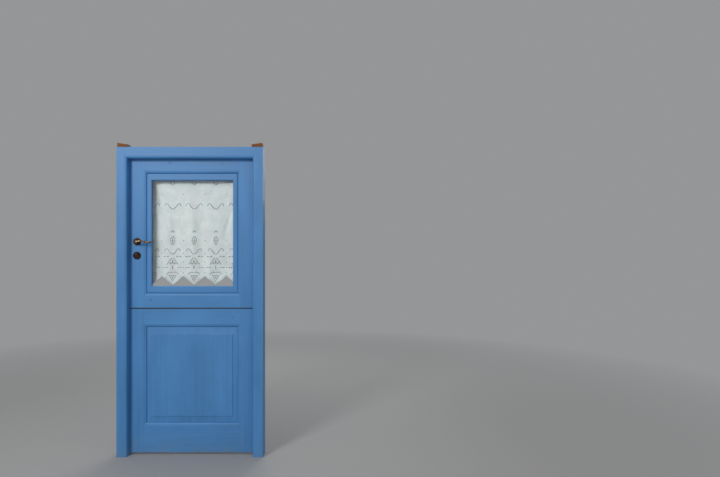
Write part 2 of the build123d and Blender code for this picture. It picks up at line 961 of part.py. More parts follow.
with BuildPart() as latch_bolt:
    tip = -leaf_half - latch_reach
    slope_depth = latch_reach - over
    block(
        (tip, tip + latch_head_length),
        (leaf_middle - bolt_thickness / 2, leaf_middle + bolt_thickness / 2),
        (latch_height_centre - latch_height / 2, latch_height_centre + latch_height / 2),
    )
    striking_edge = edges().filter_by(Axis.Z).group_by(Axis.X)[0].sort_by(Axis.Y)[0]
    chamfer(striking_edge, slope_depth, bolt_thickness - 2 * over)
    block(
        (tip + latch_head_length, lug_right),
        (leaf_middle - bolt_thickness / 2, leaf_middle + bolt_thickness / 2),
        (tail_bottom, tail_top),
    )
    block(
        (lug_left, lug_right),
        (leaf_middle - bolt_thickness / 2, leaf_middle + bolt_thickness / 2),
        (tail_bottom - latch_lug_drop, tail_bottom),
    )
keep(latch_bolt, "latch_bolt")

with BuildPart() as dead_bolt:
    block(
        (-leaf_half, -leaf_half + dead_bolt_length),
        (leaf_middle - bolt_thickness / 2, leaf_middle + bolt_thickness / 2),
        (dead_bolt_centre - dead_bolt_height / 2, dead_bolt_centre + dead_bolt_height / 2),
    )
    chamfer(faces().sort_by(Axis.X)[0].edges(), over)
keep(dead_bolt, "dead_bolt")

with BuildPart() as latch_follower:
    across_bore(
        lever_x, lever_height, follower_radius, leaf_middle - bolt_thickness / 2,
        leaf_middle + bolt_thickness / 2, Mode.ADD,
    )
    across_bore(lever_x, lever_height, follower_journal, case_front, case_back, Mode.ADD)
    block(
        (lever_x - follower_arm_width / 2, lever_x + follower_arm_width / 2),
        (leaf_middle - bolt_thickness / 2, leaf_middle + bolt_thickness / 2),
        (lever_height, lever_height + follower_arm_reach),
    )
    block(
        (lever_x - spindle_width / 2, lever_x + spindle_width / 2),
        (case_front - over, case_back + over),
        (lever_height - spindle_width / 2, lever_height + spindle_width / 2), Mode.SUBTRACT,
    )
keep(latch_follower, "latch_follower")

spindle_front = leaf_front - spindle_stand_out
spindle_back = leaf_back + spindle_stand_out


def spindle(mode=Mode.ADD):
    """Square bar that joins the two levers."""
    block(
        (lever_x - spindle_width / 2, lever_x + spindle_width / 2), (spindle_front, spindle_back),
        (lever_height - spindle_width / 2, lever_height + spindle_width / 2), mode,
    )


with BuildPart() as lever_spindle:
    spindle()
keep(lever_spindle, "lever_spindle")


def lever(face, way):
    """Lever with a round neck and a slim waved grip that runs away from the leaf's edge."""
    neck_foot = face + way * neck_back_gap
    neck_end = face + way * lever_projection
    grip_y = neck_end - way * grip_thickness / 2
    with BuildPart() as handle:
        with BuildSketch(front_view(neck_foot)):
            with Locations((lever_x, lever_height)):
                Circle(neck_radius)
        extrude(amount=neck_foot - neck_end)
        fillet(edges().filter_by(GeomType.CIRCLE).sort_by(Axis.Y)[-1 if way > 0 else 0], neck_edge)
        for station in range(grip_stations + 1):
            share = station / grip_stations
            width = grip_root_width - grip_waist * sin(pi * share)
            place = (
                lever_x + lever_reach * share,
                grip_y,
                lever_height + grip_wave * sin(2 * pi * share),
            )
            with BuildSketch(Plane(origin=place, x_dir=(0, 1, 0), z_dir=(1, 0, 0))):
                Ellipse(grip_thickness / 2 * (1 - grip_thinning * share**2), width / 2)
        loft()
        spindle(Mode.SUBTRACT)
    return handle


keep(lever(leaf_front, OUT), "outer_lever")
keep(lever(leaf_back, INTO), "inner_lever")


def rose(face, way, radius, z):
    """Round rose on one face of the leaf, with an eased edge and no hole yet."""
    with BuildSketch(front_view(face)) as disc:
        with Locations((lever_x, z)):
            Circle(radius)
    extrude(disc.sketch, amount=-way * rose_thickness)
    outer_face = faces().sort_by(Axis.Y)[-1 if way > 0 else 0]
    fillet(outer_face.edges(), rose_edge)


for rose_face, rose_way, rose_side in ((leaf_front, OUT, "outer"), (leaf_back, INTO, "inner")):
    with BuildPart() as lever_rose:
        rose(rose_face, rose_way, rose_radius, lever_height)
        across_bore(
            lever_x, lever_height, neck_radius + neck_play, leaf_front - rose_thickness - over,
            leaf_back + rose_thickness + over,
        )
    keep(lever_rose, f"{rose_side}_lever_rose")
    with BuildPart() as cylinder_rose:
        rose(rose_face, rose_way, cylinder_rose_radius, cylinder_height - cylinder_rose_drop)
        through_profile(
            leaf_front - rose_thickness - over, leaf_back + rose_thickness + over, bolt_play
        )
    keep(cylinder_rose, f"{rose_side}_cylinder_rose")

cylinder_front = leaf_front - rose_thickness - cylinder_proud
cylinder_back = leaf_back + rose_thickness + cylinder_proud

with BuildPart() as lock_cylinder:
    with BuildSketch(front_view(cylinder_front)):
        cylinder_profile(0)
    extrude(amount=cylinder_front - cylinder_back)
    across_bore(
        lever_x, cylinder_height, plug_radius + plug_clearance, cylinder_front - over,
        cylinder_back + over,
    )
    across_bore(
        lever_x, cylinder_height, cam_reach + bolt_play, leaf_middle - cam_slot / 2,
        leaf_middle + cam_slot / 2,
    )
keep(lock_cylinder, "lock_cylinder")

with BuildPart() as cylinder_plug:
    across_bore(lever_x, cylinder_height, plug_radius, cylinder_front, cylinder_back, Mode.ADD)
    with BuildSketch(front_view(leaf_middle - cam_length / 2)):
        with Locations((lever_x, cylinder_height)):
            Circle(cam_reach)
        with Locations((lever_x, cylinder_height)):
            Rectangle(cam_width, 2 * cam_reach, align=(Align.CENTER, Align.MAX), mode=Mode.INTERSECT)
    extrude(amount=-cam_length)
    for key_face, key_way in ((cylinder_front, 1), (cylinder_back, -1)):
        block(
            (lever_x - keyway_width / 2, lever_x + keyway_width / 2),
            tuple(sorted((key_face - key_way * over, key_face + key_way * keyway_depth))),
            (cylinder_height - keyway_height / 2, cylinder_height + keyway_height / 2),
            Mode.SUBTRACT,
        )
keep(cylinder_plug, "cylinder_plug")


# Glazing

glazed_low = upper.opening_low + moulding_width
glazed_high = upper.opening_high - moulding_width
glass_front = leaf_middle - glass_thickness / 2
glass_back = leaf_middle + glass_thickness / 2

with BuildPart() as window_glass:
    block(
        (-moulded_x + glass_play, moulded_x - glass_play), (glass_front, glass_back),
        (glazed_low + glass_play, glazed_high - glass_play),
    )
keep(window_glass, "window_glass")

border_width = moulded_x - sight_x


def upright_outline(side):
    """Outline of a glazing piece beside the glass, mitred at both ends."""
    return [
        (side * moulded_x, glazed_low), (side * sight_x, glazed_low + border_width),
        (side * sight_x, glazed_high - border_width), (side * moulded_x, glazed_high),
    ]


def level_outline(outer, sight):
    """Outline of a glazing piece above or below the glass, mitred as far as the uprights reach."""
    mitre_end = outer + (border_width if sight > outer else -border_width)
    return [
        (-moulded_x, outer), (-sight_x, mitre_end), (-sight_x, sight),
        (sight_x, sight), (sight_x, mitre_end), (moulded_x, outer),
    ]


glazing_outlines = {
    "left": upright_outline(-1),
    "right": upright_outline(1),
    "top": level_outline(glazed_high, sight_high),
    "bottom": level_outline(glazed_low, sight_low),
}


def glazing_piece(outline, glass_face, way):
    """Flat moulding planted against the glass; way is the direction from its face to the glass."""
    face = glass_face - way * glazing_strip
    with BuildPart() as piece:
        board(outline, min(face, glass_face), max(face, glass_face))
        ovolo_cut(
            moulded_x - glazing_groove_width, glazed_low + glazing_groove_width,
            glazed_high - glazing_groove_width, face, way, glazing_groove_width,
            glazing_groove_depth, glazing_groove_radius, inward=False,
        )
        ovolo_cut(
            sight_x + sight_edge_width, sight_low - sight_edge_width, sight_high + sight_edge_width,
            face, way, sight_edge_width, sight_edge_depth, sight_edge_radius,
        )
    return piece


for place, piece_outline in glazing_outlines.items():
    keep(glazing_piece(piece_outline, glass_front, INTO), f"glazing_moulding_{place}")
    keep(glazing_piece(piece_outline, glass_back, OUT), f"inside_bead_{place}")


# Curtain on its rod, on the upper leaf's inner face

with BuildPart() as curtain_rod:
    with Locations(Plane(origin=(0, rod_y, rod_z), z_dir=(1, 0, 0))):
        Cylinder(rod_radius, 2 * rod_half_length)
    chamfer(edges().filter_by(GeomType.CIRCLE), over)
keep(curtain_rod, "curtain_rod")

with BuildPart() as curtain_rod_brackets:
    for side in (-1, 1):
        block(
            (side * bracket_x - bracket_width, side * bracket_x + bracket_width),
            (leaf_back, leaf_back + bracket_plate),
            (rod_z - bracket_height / 2, rod_z + bracket_height / 2),
        )
        start = side * bracket_x - bracket_width / 2
        with BuildSketch(Plane(origin=(start, rod_y, rod_z), x_dir=(0, 1, 0), z_dir=(1, 0, 0))):
            Circle(rod_radius + bracket_ring)
            Rectangle(rod_stand_off, 2 * rod_radius, align=(Align.MAX, Align.CENTER))
            Circle(rod_radius + bracket_play, mode=Mode.SUBTRACT)
        extrude(amount=bracket_width)
    screw_bores(bracket_screws(), short_screw_length)
keep(curtain_rod_brackets, "curtain_rod_brackets")


def fold_line(offset):
    """Points along the curtain's shallow folds, seen from above."""
    steps = fold_points * hem_points
    points = []
    for step in range(steps + 1):
        x = -curtain_half_width + 2 * curtain_half_width * step / steps
        points.append((x, rod_y + offset + curtain_fold_depth * cos(2 * pi * x / hem_pitch)))
    return points


with BuildPart() as lace_curtain:
    with BuildSketch(Plane.XY.offset(curtain_low)):
        with BuildLine():
            outer_folds = Spline(*fold_line(-curtain_thickness / 2))
            inner_folds = Spline(*fold_line(curtain_thickness / 2))
            Line(outer_folds @ 0, inner_folds @ 0)
            Line(outer_folds @ 1, inner_folds @ 1)
        make_face()
    extrude(amount=rod_z - curtain_low)
    with Locations(Plane(origin=(0, rod_y, rod_z), z_dir=(1, 0, 0))):
        Cylinder(rod_radius + sleeve_play + sleeve_wall, 2 * curtain_half_width)
    with Locations(Plane(origin=(0, rod_y, rod_z), z_dir=(1, 0, 0))):
        Cylinder(rod_radius + sleeve_play, 3 * curtain_half_width, mode=Mode.SUBTRACT)
    for notch in range(hem_points):
        centre = (notch - (hem_points - 1) / 2) * hem_pitch
        with BuildSketch(front_view(leaf_back)):
            with BuildLine():
                Polyline(
                    (centre - hem_pitch / 2, curtain_low), (centre, curtain_low + hem_peak),
                    (centre + hem_pitch / 2, curtain_low), close=True,
                )
            make_face()
        extrude(amount=-2 * rod_stand_off, mode=Mode.SUBTRACT)
keep(lace_curtain, "lace_curtain")


# Screws, one group for each body

with BuildPart() as frame_screws:
    for hinge_z in hinges.values():
        screw_set(hinge_screws(hinge_z, True))
    screw_set(strike_screws())
    screw_set(keeper_screws(side_keeper_plane()), short_screw_length)
keep(frame_screws, "frame_screws")

with BuildPart() as upper_leaf_screws:
    for hinge_z in upper_hinge_heights:
        screw_set(hinge_screws(hinge_z, False))
    screw_set(faceplate_screws())
    screw_set(plate_screws(joining_plane()), short_screw_length)
    screw_set(bracket_screws(), short_screw_length)
keep(upper_leaf_screws, "upper_leaf_screws")

with BuildPart() as lower_leaf_screws:
    for hinge_z in lower_hinge_heights:
        screw_set(hinge_screws(hinge_z, False))
    screw_set(plate_screws(side_keeper_plane()), short_screw_length)
    screw_set(keeper_screws(joining_plane()), short_screw_length)
keep(lower_leaf_screws, "lower_leaf_screws")
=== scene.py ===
"""Look of a dutch stable door: a painted frame with a glazed upper leaf and a panelled lower leaf.

All sizes are in metres in the door's own frame: X to the right seen from outside, Y inward
through the wall and Z up, with the origin on the floor.
"""
import logging
import math
from collections.abc import Callable, Iterable, Sequence
from dataclasses import dataclass, field
from enum import Enum
from functools import cache
from random import Random
from typing import NamedTuple

import bmesh
import bpy
from mathutils import Matrix, Vector, geometry


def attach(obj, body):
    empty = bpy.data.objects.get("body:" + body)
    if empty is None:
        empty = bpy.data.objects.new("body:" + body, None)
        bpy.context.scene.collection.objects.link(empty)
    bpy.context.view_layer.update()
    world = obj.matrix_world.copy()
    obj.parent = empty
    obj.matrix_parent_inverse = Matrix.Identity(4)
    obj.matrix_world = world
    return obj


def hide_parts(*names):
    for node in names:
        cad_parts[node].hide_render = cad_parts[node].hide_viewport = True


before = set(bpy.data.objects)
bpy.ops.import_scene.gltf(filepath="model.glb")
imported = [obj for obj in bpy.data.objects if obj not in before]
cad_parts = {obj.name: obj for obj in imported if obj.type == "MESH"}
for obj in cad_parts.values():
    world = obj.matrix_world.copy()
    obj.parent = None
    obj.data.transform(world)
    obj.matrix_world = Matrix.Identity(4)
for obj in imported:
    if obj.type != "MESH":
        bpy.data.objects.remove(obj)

log = logging.getLogger("stable_door")

MM = 0.001
MERGE = 3e-6
QUARTER = math.pi / 2
EDGE = "edge_wear"
THREAD = "thread_way"
TURN = "turn"
PLACES = ("Place", "Centre", "Map")
GEOMETRY, NUMBER, COUNT = "NodeSocketGeometry", "NodeSocketFloat", "NodeSocketInt"
VECTOR, MATERIAL = "NodeSocketVector", "NodeSocketMaterial"

Colour = tuple[float, float, float]
Point = tuple[float, float]
Spot = tuple[float, float, float]
Loop = list[Point]
Face = tuple[int, ...]
Mesh = bpy.types.Mesh
Material = bpy.types.Material
Socket = bpy.types.NodeSocket
Node = bpy.types.Node
Tree = bpy.types.NodeTree
Feed = Socket | float | Sequence[float]

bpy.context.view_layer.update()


def paint_value(red: int, green: int, blue: int) -> Colour:
    """Linear colour of a paint as it reads on a screen.

    Args:
        red, green, blue: Screen values from 0 to 255.

    Returns:
        The colour as the shaders take it.
    """
    def linear(value: int) -> float:
        """One channel, by the screen's own curve."""
        share = value / 255
        return share / 12.92 if share <= 0.04045 else ((share + 0.055) / 1.055) ** 2.4

    return linear(red), linear(green), linear(blue)


class GrainWay(Enum):
    """Direction in which a board's grain and brush lines run, as a turn of its pattern."""

    UPRIGHT = (0.0, 0.0, 0.0)
    LEVEL = (0.0, QUARTER, 0.0)


class Side(Enum):
    """Face of a leaf, with the sign of Y that leads away from the wood."""

    OUTER = -1
    INNER = 1


class Wiring:
    """Places nodes in one tree and joins them."""

    def __init__(self, tree: Tree) -> None:
        """Keeps the tree to work in."""
        self.tree = tree

    def feed(self, socket: Socket, value: Feed) -> None:
        """Joins a socket to another, or sets its own value.

        Args:
            socket: The input to fill.
            value: The output that feeds it, or its value.
        """
        if isinstance(value, bpy.types.NodeSocket):
            self.tree.links.new(value, socket)
        elif socket.type == "RGBA" and not isinstance(value, float) and len(value) == 3:
            socket.default_value = (*value, 1.0)
        else:
            socket.default_value = value

    def place(self, kind: str, feeds: dict[str | int, Feed] | None = None,
              **settings: object) -> Node:
        """Adds a node.

        Args:
            kind: The node's Blender type.
            feeds: Values or sockets for its inputs, by name or number.
            settings: Its own options.

        Returns:
            The node.
        """
        node = self.tree.nodes.new(kind)
        for option, value in settings.items():
            setattr(node, option, value)
        for key, value in (feeds or {}).items():
            self.feed(node.inputs[key], value)
        return node

    def math(self, operation: str, first: Feed, second: Feed = 0.0, clamp: bool = False) -> Socket:
        """Result of a sum or comparison of two numbers."""
        feeds = {0: first, 1: second}
        return self.place("ShaderNodeMath", feeds, operation=operation, use_clamp=clamp).outputs[0]

    def plus(self, first: Feed, second: Feed, clamp: bool = False) -> Socket:
        """Sum of two numbers."""
        return self.math("ADD", first, second, clamp)

    def minus(self, first: Feed, second: Feed, clamp: bool = False) -> Socket:
        """Difference of two numbers."""
        return self.math("SUBTRACT", first, second, clamp)

    def times(self, first: Feed, second: Feed) -> Socket:
        """Product of two numbers."""
        return self.math("MULTIPLY", first, second)

    def parts(self, vector: Feed) -> Sequence[Socket]:
        """The three numbers of a vector."""
        return self.place("ShaderNodeSeparateXYZ", {0: vector}).outputs

    def upward(self) -> Socket:
        """How far a face looks up, from -1 to 1."""
        return self.parts(self.place("ShaderNodeNewGeometry").outputs["Normal"])[2]

    def blend(self, share: Feed, first: Feed, second: Feed) -> Socket:
        """Colour between two colours.

        Args:
            share: Share of the second colour.
            first: The colour at 0.
            second: The colour at 1.

        Returns:
            The blended colour.
        """
        node = self.place("ShaderNodeMix", data_type="RGBA")
        for index, value in ((0, share), (6, first), (7, second)):
            self.feed(node.inputs[index], value)
        return node.outputs[2]

    def between(self, value: Feed, low: float, high: float, to_low: float = 0.0,
                to_high: float = 1.0) -> Socket:
        """Value moved from one range to another, and kept in it."""
        feeds = {0: value, 1: low, 2: high, 3: to_low, 4: to_high}
        return self.place("ShaderNodeMapRange", feeds, clamp=True).outputs[0]

    def cloud(self, where: Feed, scale: Feed, detail: float = 2.0, rough: float = 0.5,
              bend: float = 0.0) -> Socket:
        """Cloudy pattern from 0 to 1.

        Args:
            where: Its coordinates.
            scale: Its scale, where a larger one is finer.
            detail: How many finer layers it has.
            rough: Strength of each finer layer.
            bend: How far it is bent out of shape.

        Returns:
            The pattern.
        """
        feeds = {"Vector": where, "Scale": scale, "Detail": detail, "Roughness": rough,
                 "Distortion": bend}
        return self.place("ShaderNodeTexNoise", feeds).outputs[0]

    def stretch(self, where: Feed, scale: Sequence[float], turn: Sequence[float] = (0, 0, 0),
                shift: Sequence[float] = (0, 0, 0)) -> Socket:
        """Coordinates scaled, turned and shifted."""
        feeds = {"Vector": where, "Location": shift, "Rotation": turn, "Scale": scale}
        return self.place("ShaderNodeMapping", feeds).outputs[0]


class Effect(Wiring):
    """A shader group that finishes share, while its nodes are placed."""

    def __init__(self, name: str, takes: Sequence[str], gives: Sequence[str]) -> None:
        """Starts the group.

        Args:
            name: The group's name.
            takes: Its inputs: places where PLACES names them, or else numbers.
            gives: Its outputs, which are numbers.
        """
        super().__init__(bpy.data.node_groups.new(name, "ShaderNodeTree"))
        for label in takes:
            kind = VECTOR if label in PLACES else NUMBER
            self.tree.interface.new_socket(label, in_out="INPUT", socket_type=kind)
        for label in gives:
            self.tree.interface.new_socket(label, in_out="OUTPUT", socket_type=NUMBER)
        self.takes = self.tree.nodes.new("NodeGroupInput").outputs
        self._gives = self.tree.nodes.new("NodeGroupOutput").inputs

    def give(self, label: str, value: Socket) -> None:
        """Joins one of the group's outputs."""
        self.feed(self._gives[label], value)


@cache
def brushed_coat() -> Tree:
    """Brush lines and uneven thickness of a hand-painted coat, along the third axis.

    Returns:
        A group that takes Place and Lines and gives Height and Tone.
    """
    wire = Effect("brushed coat", ("Place", "Lines"), ("Height", "Tone"))
    place, lines = wire.takes["Place"], wire.takes["Lines"]
    strokes = wire.stretch(place, (1, 1, 0.025))
    fine = wire.cloud(strokes, lines, detail=3.0, rough=0.65, bend=0.2)
    broad = wire.cloud(strokes, wire.times(lines, 0.14), detail=2.0, rough=0.5, bend=0.4)
    drawn = wire.stretch(place, (1, 1, 0.45))
    patches = wire.cloud(drawn, 5.5, detail=3.0, rough=0.55, bend=0.3)
    wire.give("Height", wire.plus(wire.times(fine, 0.45), wire.times(broad, 0.55)))
    wire.give("Tone", wire.plus(wire.times(patches, 0.7), wire.times(broad, 0.3)))
    return wire.tree


@cache
def timber_figure() -> Tree:
    """Growth rings of a softwood board, along the third axis.

    Returns:
        A group that takes Place and Rings and gives Tone.
    """
    wire = Effect("timber figure", ("Place", "Rings"), ("Tone",))
    place = wire.takes["Place"]
    sway = wire.cloud(wire.stretch(place, (1, 1, 0.16)), 9.0, detail=2.0, rough=0.5, bend=0.6)
    across, through, along = wire.parts(wire.stretch(place, (1, 0.35, 0.02)))
    line = wire.plus(across, wire.plus(through, along))
    phase = wire.plus(wire.times(line, wire.takes["Rings"]), wire.times(sway, 9.0))
    wire.give("Tone", wire.between(wire.math("SINE", phase), -1.0, 1.0))
    return wire.tree


@cache
def settled_dust() -> Tree:
    """Dust on faces that look up and grime that splashes up from the floor.

    Returns:
        A group that takes Place and Reach and gives Mask.
    """
    wire = Effect("settled dust", ("Place", "Reach"), ("Mask",))
    place = wire.takes["Place"]
    height = wire.parts(place)[2]
    low = wire.minus(1.0, wire.math("DIVIDE", height, wire.takes["Reach"]), clamp=True)
    specks = wire.between(wire.cloud(place, 60.0, detail=4.0, rough=0.65), 0.35, 0.75)
    blots = wire.between(wire.cloud(place, 14.0, detail=4.0, rough=0.6), 0.3, 0.7)
    lying = wire.times(wire.between(wire.upward(), 0.35, 1.0), wire.times(specks, 0.3))
    splashed = wire.times(wire.math("POWER", low, 2.0), blots)
    wire.give("Mask", wire.math("MAXIMUM", lying, splashed))
    return wire.tree


@cache
def rubbed_edge() -> Tree:
    """Edges that hands and weather have rubbed, where a piece marks them.

    Returns:
        A group that takes Place and Wear and gives Mask.
    """
    wire = Effect("rubbed edge", ("Place", "Wear"), ("Mask",))
    marked = wire.place("ShaderNodeAttribute", attribute_name=EDGE).outputs["Fac"]
    broken = wire.cloud(wire.takes["Place"], 26.0, detail=4.0, rough=0.65)
    limit = wire.minus(1.0, wire.takes["Wear"])
    shown = wire.math("DIVIDE", wire.minus(broken, limit), 0.12, clamp=True)
    wire.give("Mask", wire.times(marked, shown))
    return wire.tree


@cache
def painted_knot() -> Tree:
    """Knot that shows through the paint as a dark ring and a slight hollow.

    Returns:
        A group that takes Place, Centre and Knot Radius and gives Mask and Height.
    """
    wire = Effect("painted knot", ("Place", "Centre", "Knot Radius"), ("Mask", "Height"))
    place, centre = wire.takes["Place"], wire.takes["Centre"]
    offset = wire.place("ShaderNodeVectorMath", {0: place, 1: centre}, operation="SUBTRACT")
    flat = wire.stretch(offset.outputs[0], (1, 0, 0.8))
    away = wire.place("ShaderNodeVectorMath", {0: flat}, operation="LENGTH").outputs["Value"]
    away = wire.math("DIVIDE", away, wire.takes["Knot Radius"])
    away = wire.plus(away, wire.times(wire.cloud(place, 160.0), 0.5))
    ring = wire.math("SINE", wire.times(away, 9.0))
    fade = wire.between(away, 1.5, 0.7)
    wire.give("Mask", wire.times(fade, wire.between(ring, -1.0, 1.0, 0.55, 1.0)))
    wire.give("Height", wire.times(fade, wire.between(ring, -1.0, 1.0, -1.0, -0.4)))
    return wire.tree


@cache
def joint_shade() -> Tree:
    """Painted shade on the level faces in the joint between the leaves, standing in for the gap's
    shadow.

    Returns:
        A group that takes Place, Joint Height and Joint Reach and gives Mask.
    """
    wire = Effect("joint shade", ("Place", "Joint Height", "Joint Reach"), ("Mask",))
    level = wire.between(wire.math("ABSOLUTE", wire.upward()), 0.3, 0.8)
    gap = wire.minus(wire.parts(wire.takes["Place"])[2], wire.takes["Joint Height"])
    near = wire.math("LESS_THAN", wire.math("ABSOLUTE", gap), wire.takes["Joint Reach"])
    wire.give("Mask", wire.times(level, near))
    return wire.tree


@cache
def metal_tarnish() -> Tree:
    """Uneven tarnish and fine scratches on metal.

    Returns:
        A group that takes Place and Scale and gives Tone and Scratches.
    """
    wire = Effect("metal tarnish", ("Place", "Scale"), ("Tone", "Scratches"))
    place, scale = wire.takes["Place"], wire.takes["Scale"]
    wire.give("Tone", wire.cloud(place, scale, detail=5.0, rough=0.62, bend=0.4))
    drawn = wire.stretch(place, (1, 1, 0.06), turn=(0.5, 0.9, 0.3))
    wire.give("Scratches", wire.cloud(drawn, wire.times(scale, 14.0), detail=2.0, rough=0.7))
    return wire.tree


@cache
def thread_weave() -> Tree:
    """Plain weave that follows the cloth's own map, which is in metres.

    Returns:
        A group that takes Map and Threads and gives Height.
    """
    wire = Effect("thread weave", ("Map", "Threads"), ("Height",))
    warp, weft = (
        wire.math("SINE", wire.times(part, wire.times(wire.takes["Threads"], math.tau)))
        for part in wire.parts(wire.takes["Map"])[:2]
    )
    wire.give("Height", wire.times(wire.math("ABSOLUTE", warp), wire.math("ABSOLUTE", weft)))
    return wire.tree


@dataclass
class Dressing:
    """A material while its nodes are placed."""

    name: str
    material: Material = field(init=False)
    wire: Wiring = field(init=False)
    shader: Node = field(init=False)
    output: Node = field(init=False)
    place: Socket = field(init=False)

    def __post_init__(self) -> None:
        """Makes the material with its shader and the piece's own coordinates."""
        self.material = bpy.data.materials.new(self.name)
        self.material.use_nodes = True
        self.wire = Wiring(self.material.node_tree)
        self.material.node_tree.nodes.clear()
        self.shader = self.wire.place("ShaderNodeBsdfPrincipled")
        surface = {"Surface": self.shader.outputs[0]}
        self.output = self.wire.place("ShaderNodeOutputMaterial", surface)
        self.place = self.wire.place("ShaderNodeTexCoord").outputs["Object"]

    def shared(self, tree: Tree, **feeds: Feed) -> Sequence[Socket]:
        """Outputs of a shared group, whose inputs are named with an underscore for a space."""
        spaced = {label.replace("_", " "): value for label, value in feeds.items()}
        return self.wire.place("ShaderNodeGroup", spaced, node_tree=tree).outputs

    def set(self, **values: Feed) -> None:
        """Sets or joins the shader's sockets, named with an underscore for a space."""
        for label, value in values.items():
            self.wire.feed(self.shader.inputs[label.replace("_", " ")], value)

    def relief(self, *layers: tuple[Socket, float]) -> None:
        """Bumps the surface by one height after another.

        Args:
            layers: Each height with its depth in metres.
        """
        normal: Socket | None = None
        for height, depth in layers:
            feeds = {"Height": height, "Distance": depth, "Strength": 1.0}
            bump = self.wire.place("ShaderNodeBump", feeds)
            if normal is not None:
                self.wire.feed(bump.inputs["Normal"], normal)
            normal = bump.outputs[0]
        self.wire.feed(self.shader.inputs["Normal"], normal)


@dataclass(frozen=True)
class PaintedTimber:
    """Blue satin paint, brushed by hand along the grain of a softwood board.

    Each knot is given by its place across, its height and its radius.
    """

    grain: GrainWay
    seed: float
    knots: tuple[Spot, ...] = ()
    paint: Colour = paint_value(68, 130, 187)
    worn: Colour = paint_value(120, 168, 205)
    grime: Colour = paint_value(112, 128, 138)
    # Dark of the knots' rings, and also the painted shade in the joint between the leaves.
    shade: Colour = paint_value(14, 26, 42)
    joint: float = 977 * MM
    joint_reach: float = 3.4 * MM
    splash: float = 0.22
    brush_lines: float = 430.0
    growth_rings: float = 900.0
    wear: float = 0.47
    deep: float = 0.86
    ring_depth: float = 0.06 * MM
    brush_depth: float = 0.35 * MM
    knot_depth: float = 0.5 * MM

    @cache
    def material(self) -> Material:
        """Makes the finish once for each board.

        Returns:
            The material.
        """
        dress = Dressing(f"blue paint {self.grain.name.lower()} {self.seed:g}")
        wire, place = dress.wire, dress.place
        shift = (self.seed * 0.731, self.seed * 0.317, self.seed * 0.53)
        along = wire.stretch(place, (1, 1, 1), self.grain.value, shift)
        coat = dress.shared(brushed_coat(), Place=along, Lines=self.brush_lines)
        rings = dress.shared(timber_figure(), Place=along, Rings=self.growth_rings)["Tone"]
        dust = dress.shared(settled_dust(), Place=place, Reach=self.splash)["Mask"]
        rubbed = dress.shared(rubbed_edge(), Place=along, Wear=self.wear)["Mask"]
        # Mask of the painted shade on the level faces in the joint between the leaves.
        joint = dress.shared(joint_shade(), Place=place, Joint_Height=self.joint,
                             Joint_Reach=self.joint_reach)["Mask"]
        dark = tuple(channel * self.deep for channel in self.paint)
        light = tuple(min(1.0, channel * 1.13 + 0.004) for channel in self.paint)
        body = wire.blend(wire.between(coat["Tone"], 0.3, 0.7), dark, light)
        body = wire.blend(wire.between(coat["Height"], 0.35, 0.65, to_high=0.13), body, light)
        blotch = wire.cloud(wire.stretch(along, (1, 1, 0.6)), 7.0, detail=2.0, rough=0.5)
        body = wire.blend(wire.between(blotch, 0.74, 0.82, to_high=0.3), body, dark)
        hollows = []
        for across, height, radius in self.knots:
            knot = dress.shared(painted_knot(), Place=place, Centre=(across, 0.0, height),
                                Knot_Radius=radius)
            body = wire.blend(wire.times(knot["Mask"], 0.3), body, self.shade)
            hollows.append((knot["Height"], self.knot_depth))
        body = wire.blend(wire.times(rubbed, 0.75), body, self.worn)
        body = wire.blend(wire.times(dust, 0.42), body, self.grime)
        # Painted shade: the level faces in the joint between the leaves are darkened as the gap's
        # shadow.
        body = wire.blend(joint, body, self.shade)
        rough = wire.between(coat["Tone"], 0.25, 0.75, 0.42, 0.56)
        rough = wire.plus(rough, wire.times(dust, 0.25), clamp=True)
        rough = wire.plus(rough, wire.times(joint, 0.5), clamp=True)
        dress.set(Base_Color=body, Roughness=rough)
        dress.relief((rings, self.ring_depth), (coat["Height"], self.brush_depth), *hollows)
        return dress.material


@dataclass(frozen=True)
class BareWood:
    """Unpainted softwood, weathered orange brown with dark rings."""

    seed: float = 1.0
    pale: Colour = paint_value(158, 99, 46)
    deep: Colour = paint_value(84, 46, 18)
    grime: Colour = paint_value(120, 110, 96)
    saw_lines: float = 700.0
    growth_rings: float = 1500.0
    ring_depth: float = 0.3 * MM
    saw_depth: float = 0.6 * MM

    @cache
    def material(self) -> Material:
        """Makes the finish once for each seed.

        Returns:
            The material.
        """
        dress = Dressing("bare wood")
        wire = dress.wire
        shift = (self.seed, 0.3, 0.7)
        along = wire.stretch(dress.place, (1, 1, 1), GrainWay.LEVEL.value, shift)
        rings = dress.shared(timber_figure(), Place=along, Rings=self.growth_rings)["Tone"]
        coat = dress.shared(brushed_coat(), Place=along, Lines=self.saw_lines)
        dust = dress.shared(settled_dust(), Place=dress.place, Reach=0.05)["Mask"]
        body = wire.blend(wire.between(rings, 0.1, 0.9), self.deep, self.pale)
        body = wire.blend(wire.between(coat["Tone"], 0.35, 0.75, to_high=0.55), body, self.deep)
        body = wire.blend(wire.times(dust, 0.3), body, self.grime)
        dress.set(Base_Color=body, Roughness=wire.between(coat["Height"], 0.3, 0.7, 0.68, 0.88))
        dress.relief((rings, self.ring_depth), (coat["Height"], self.saw_depth))
        return dress.material


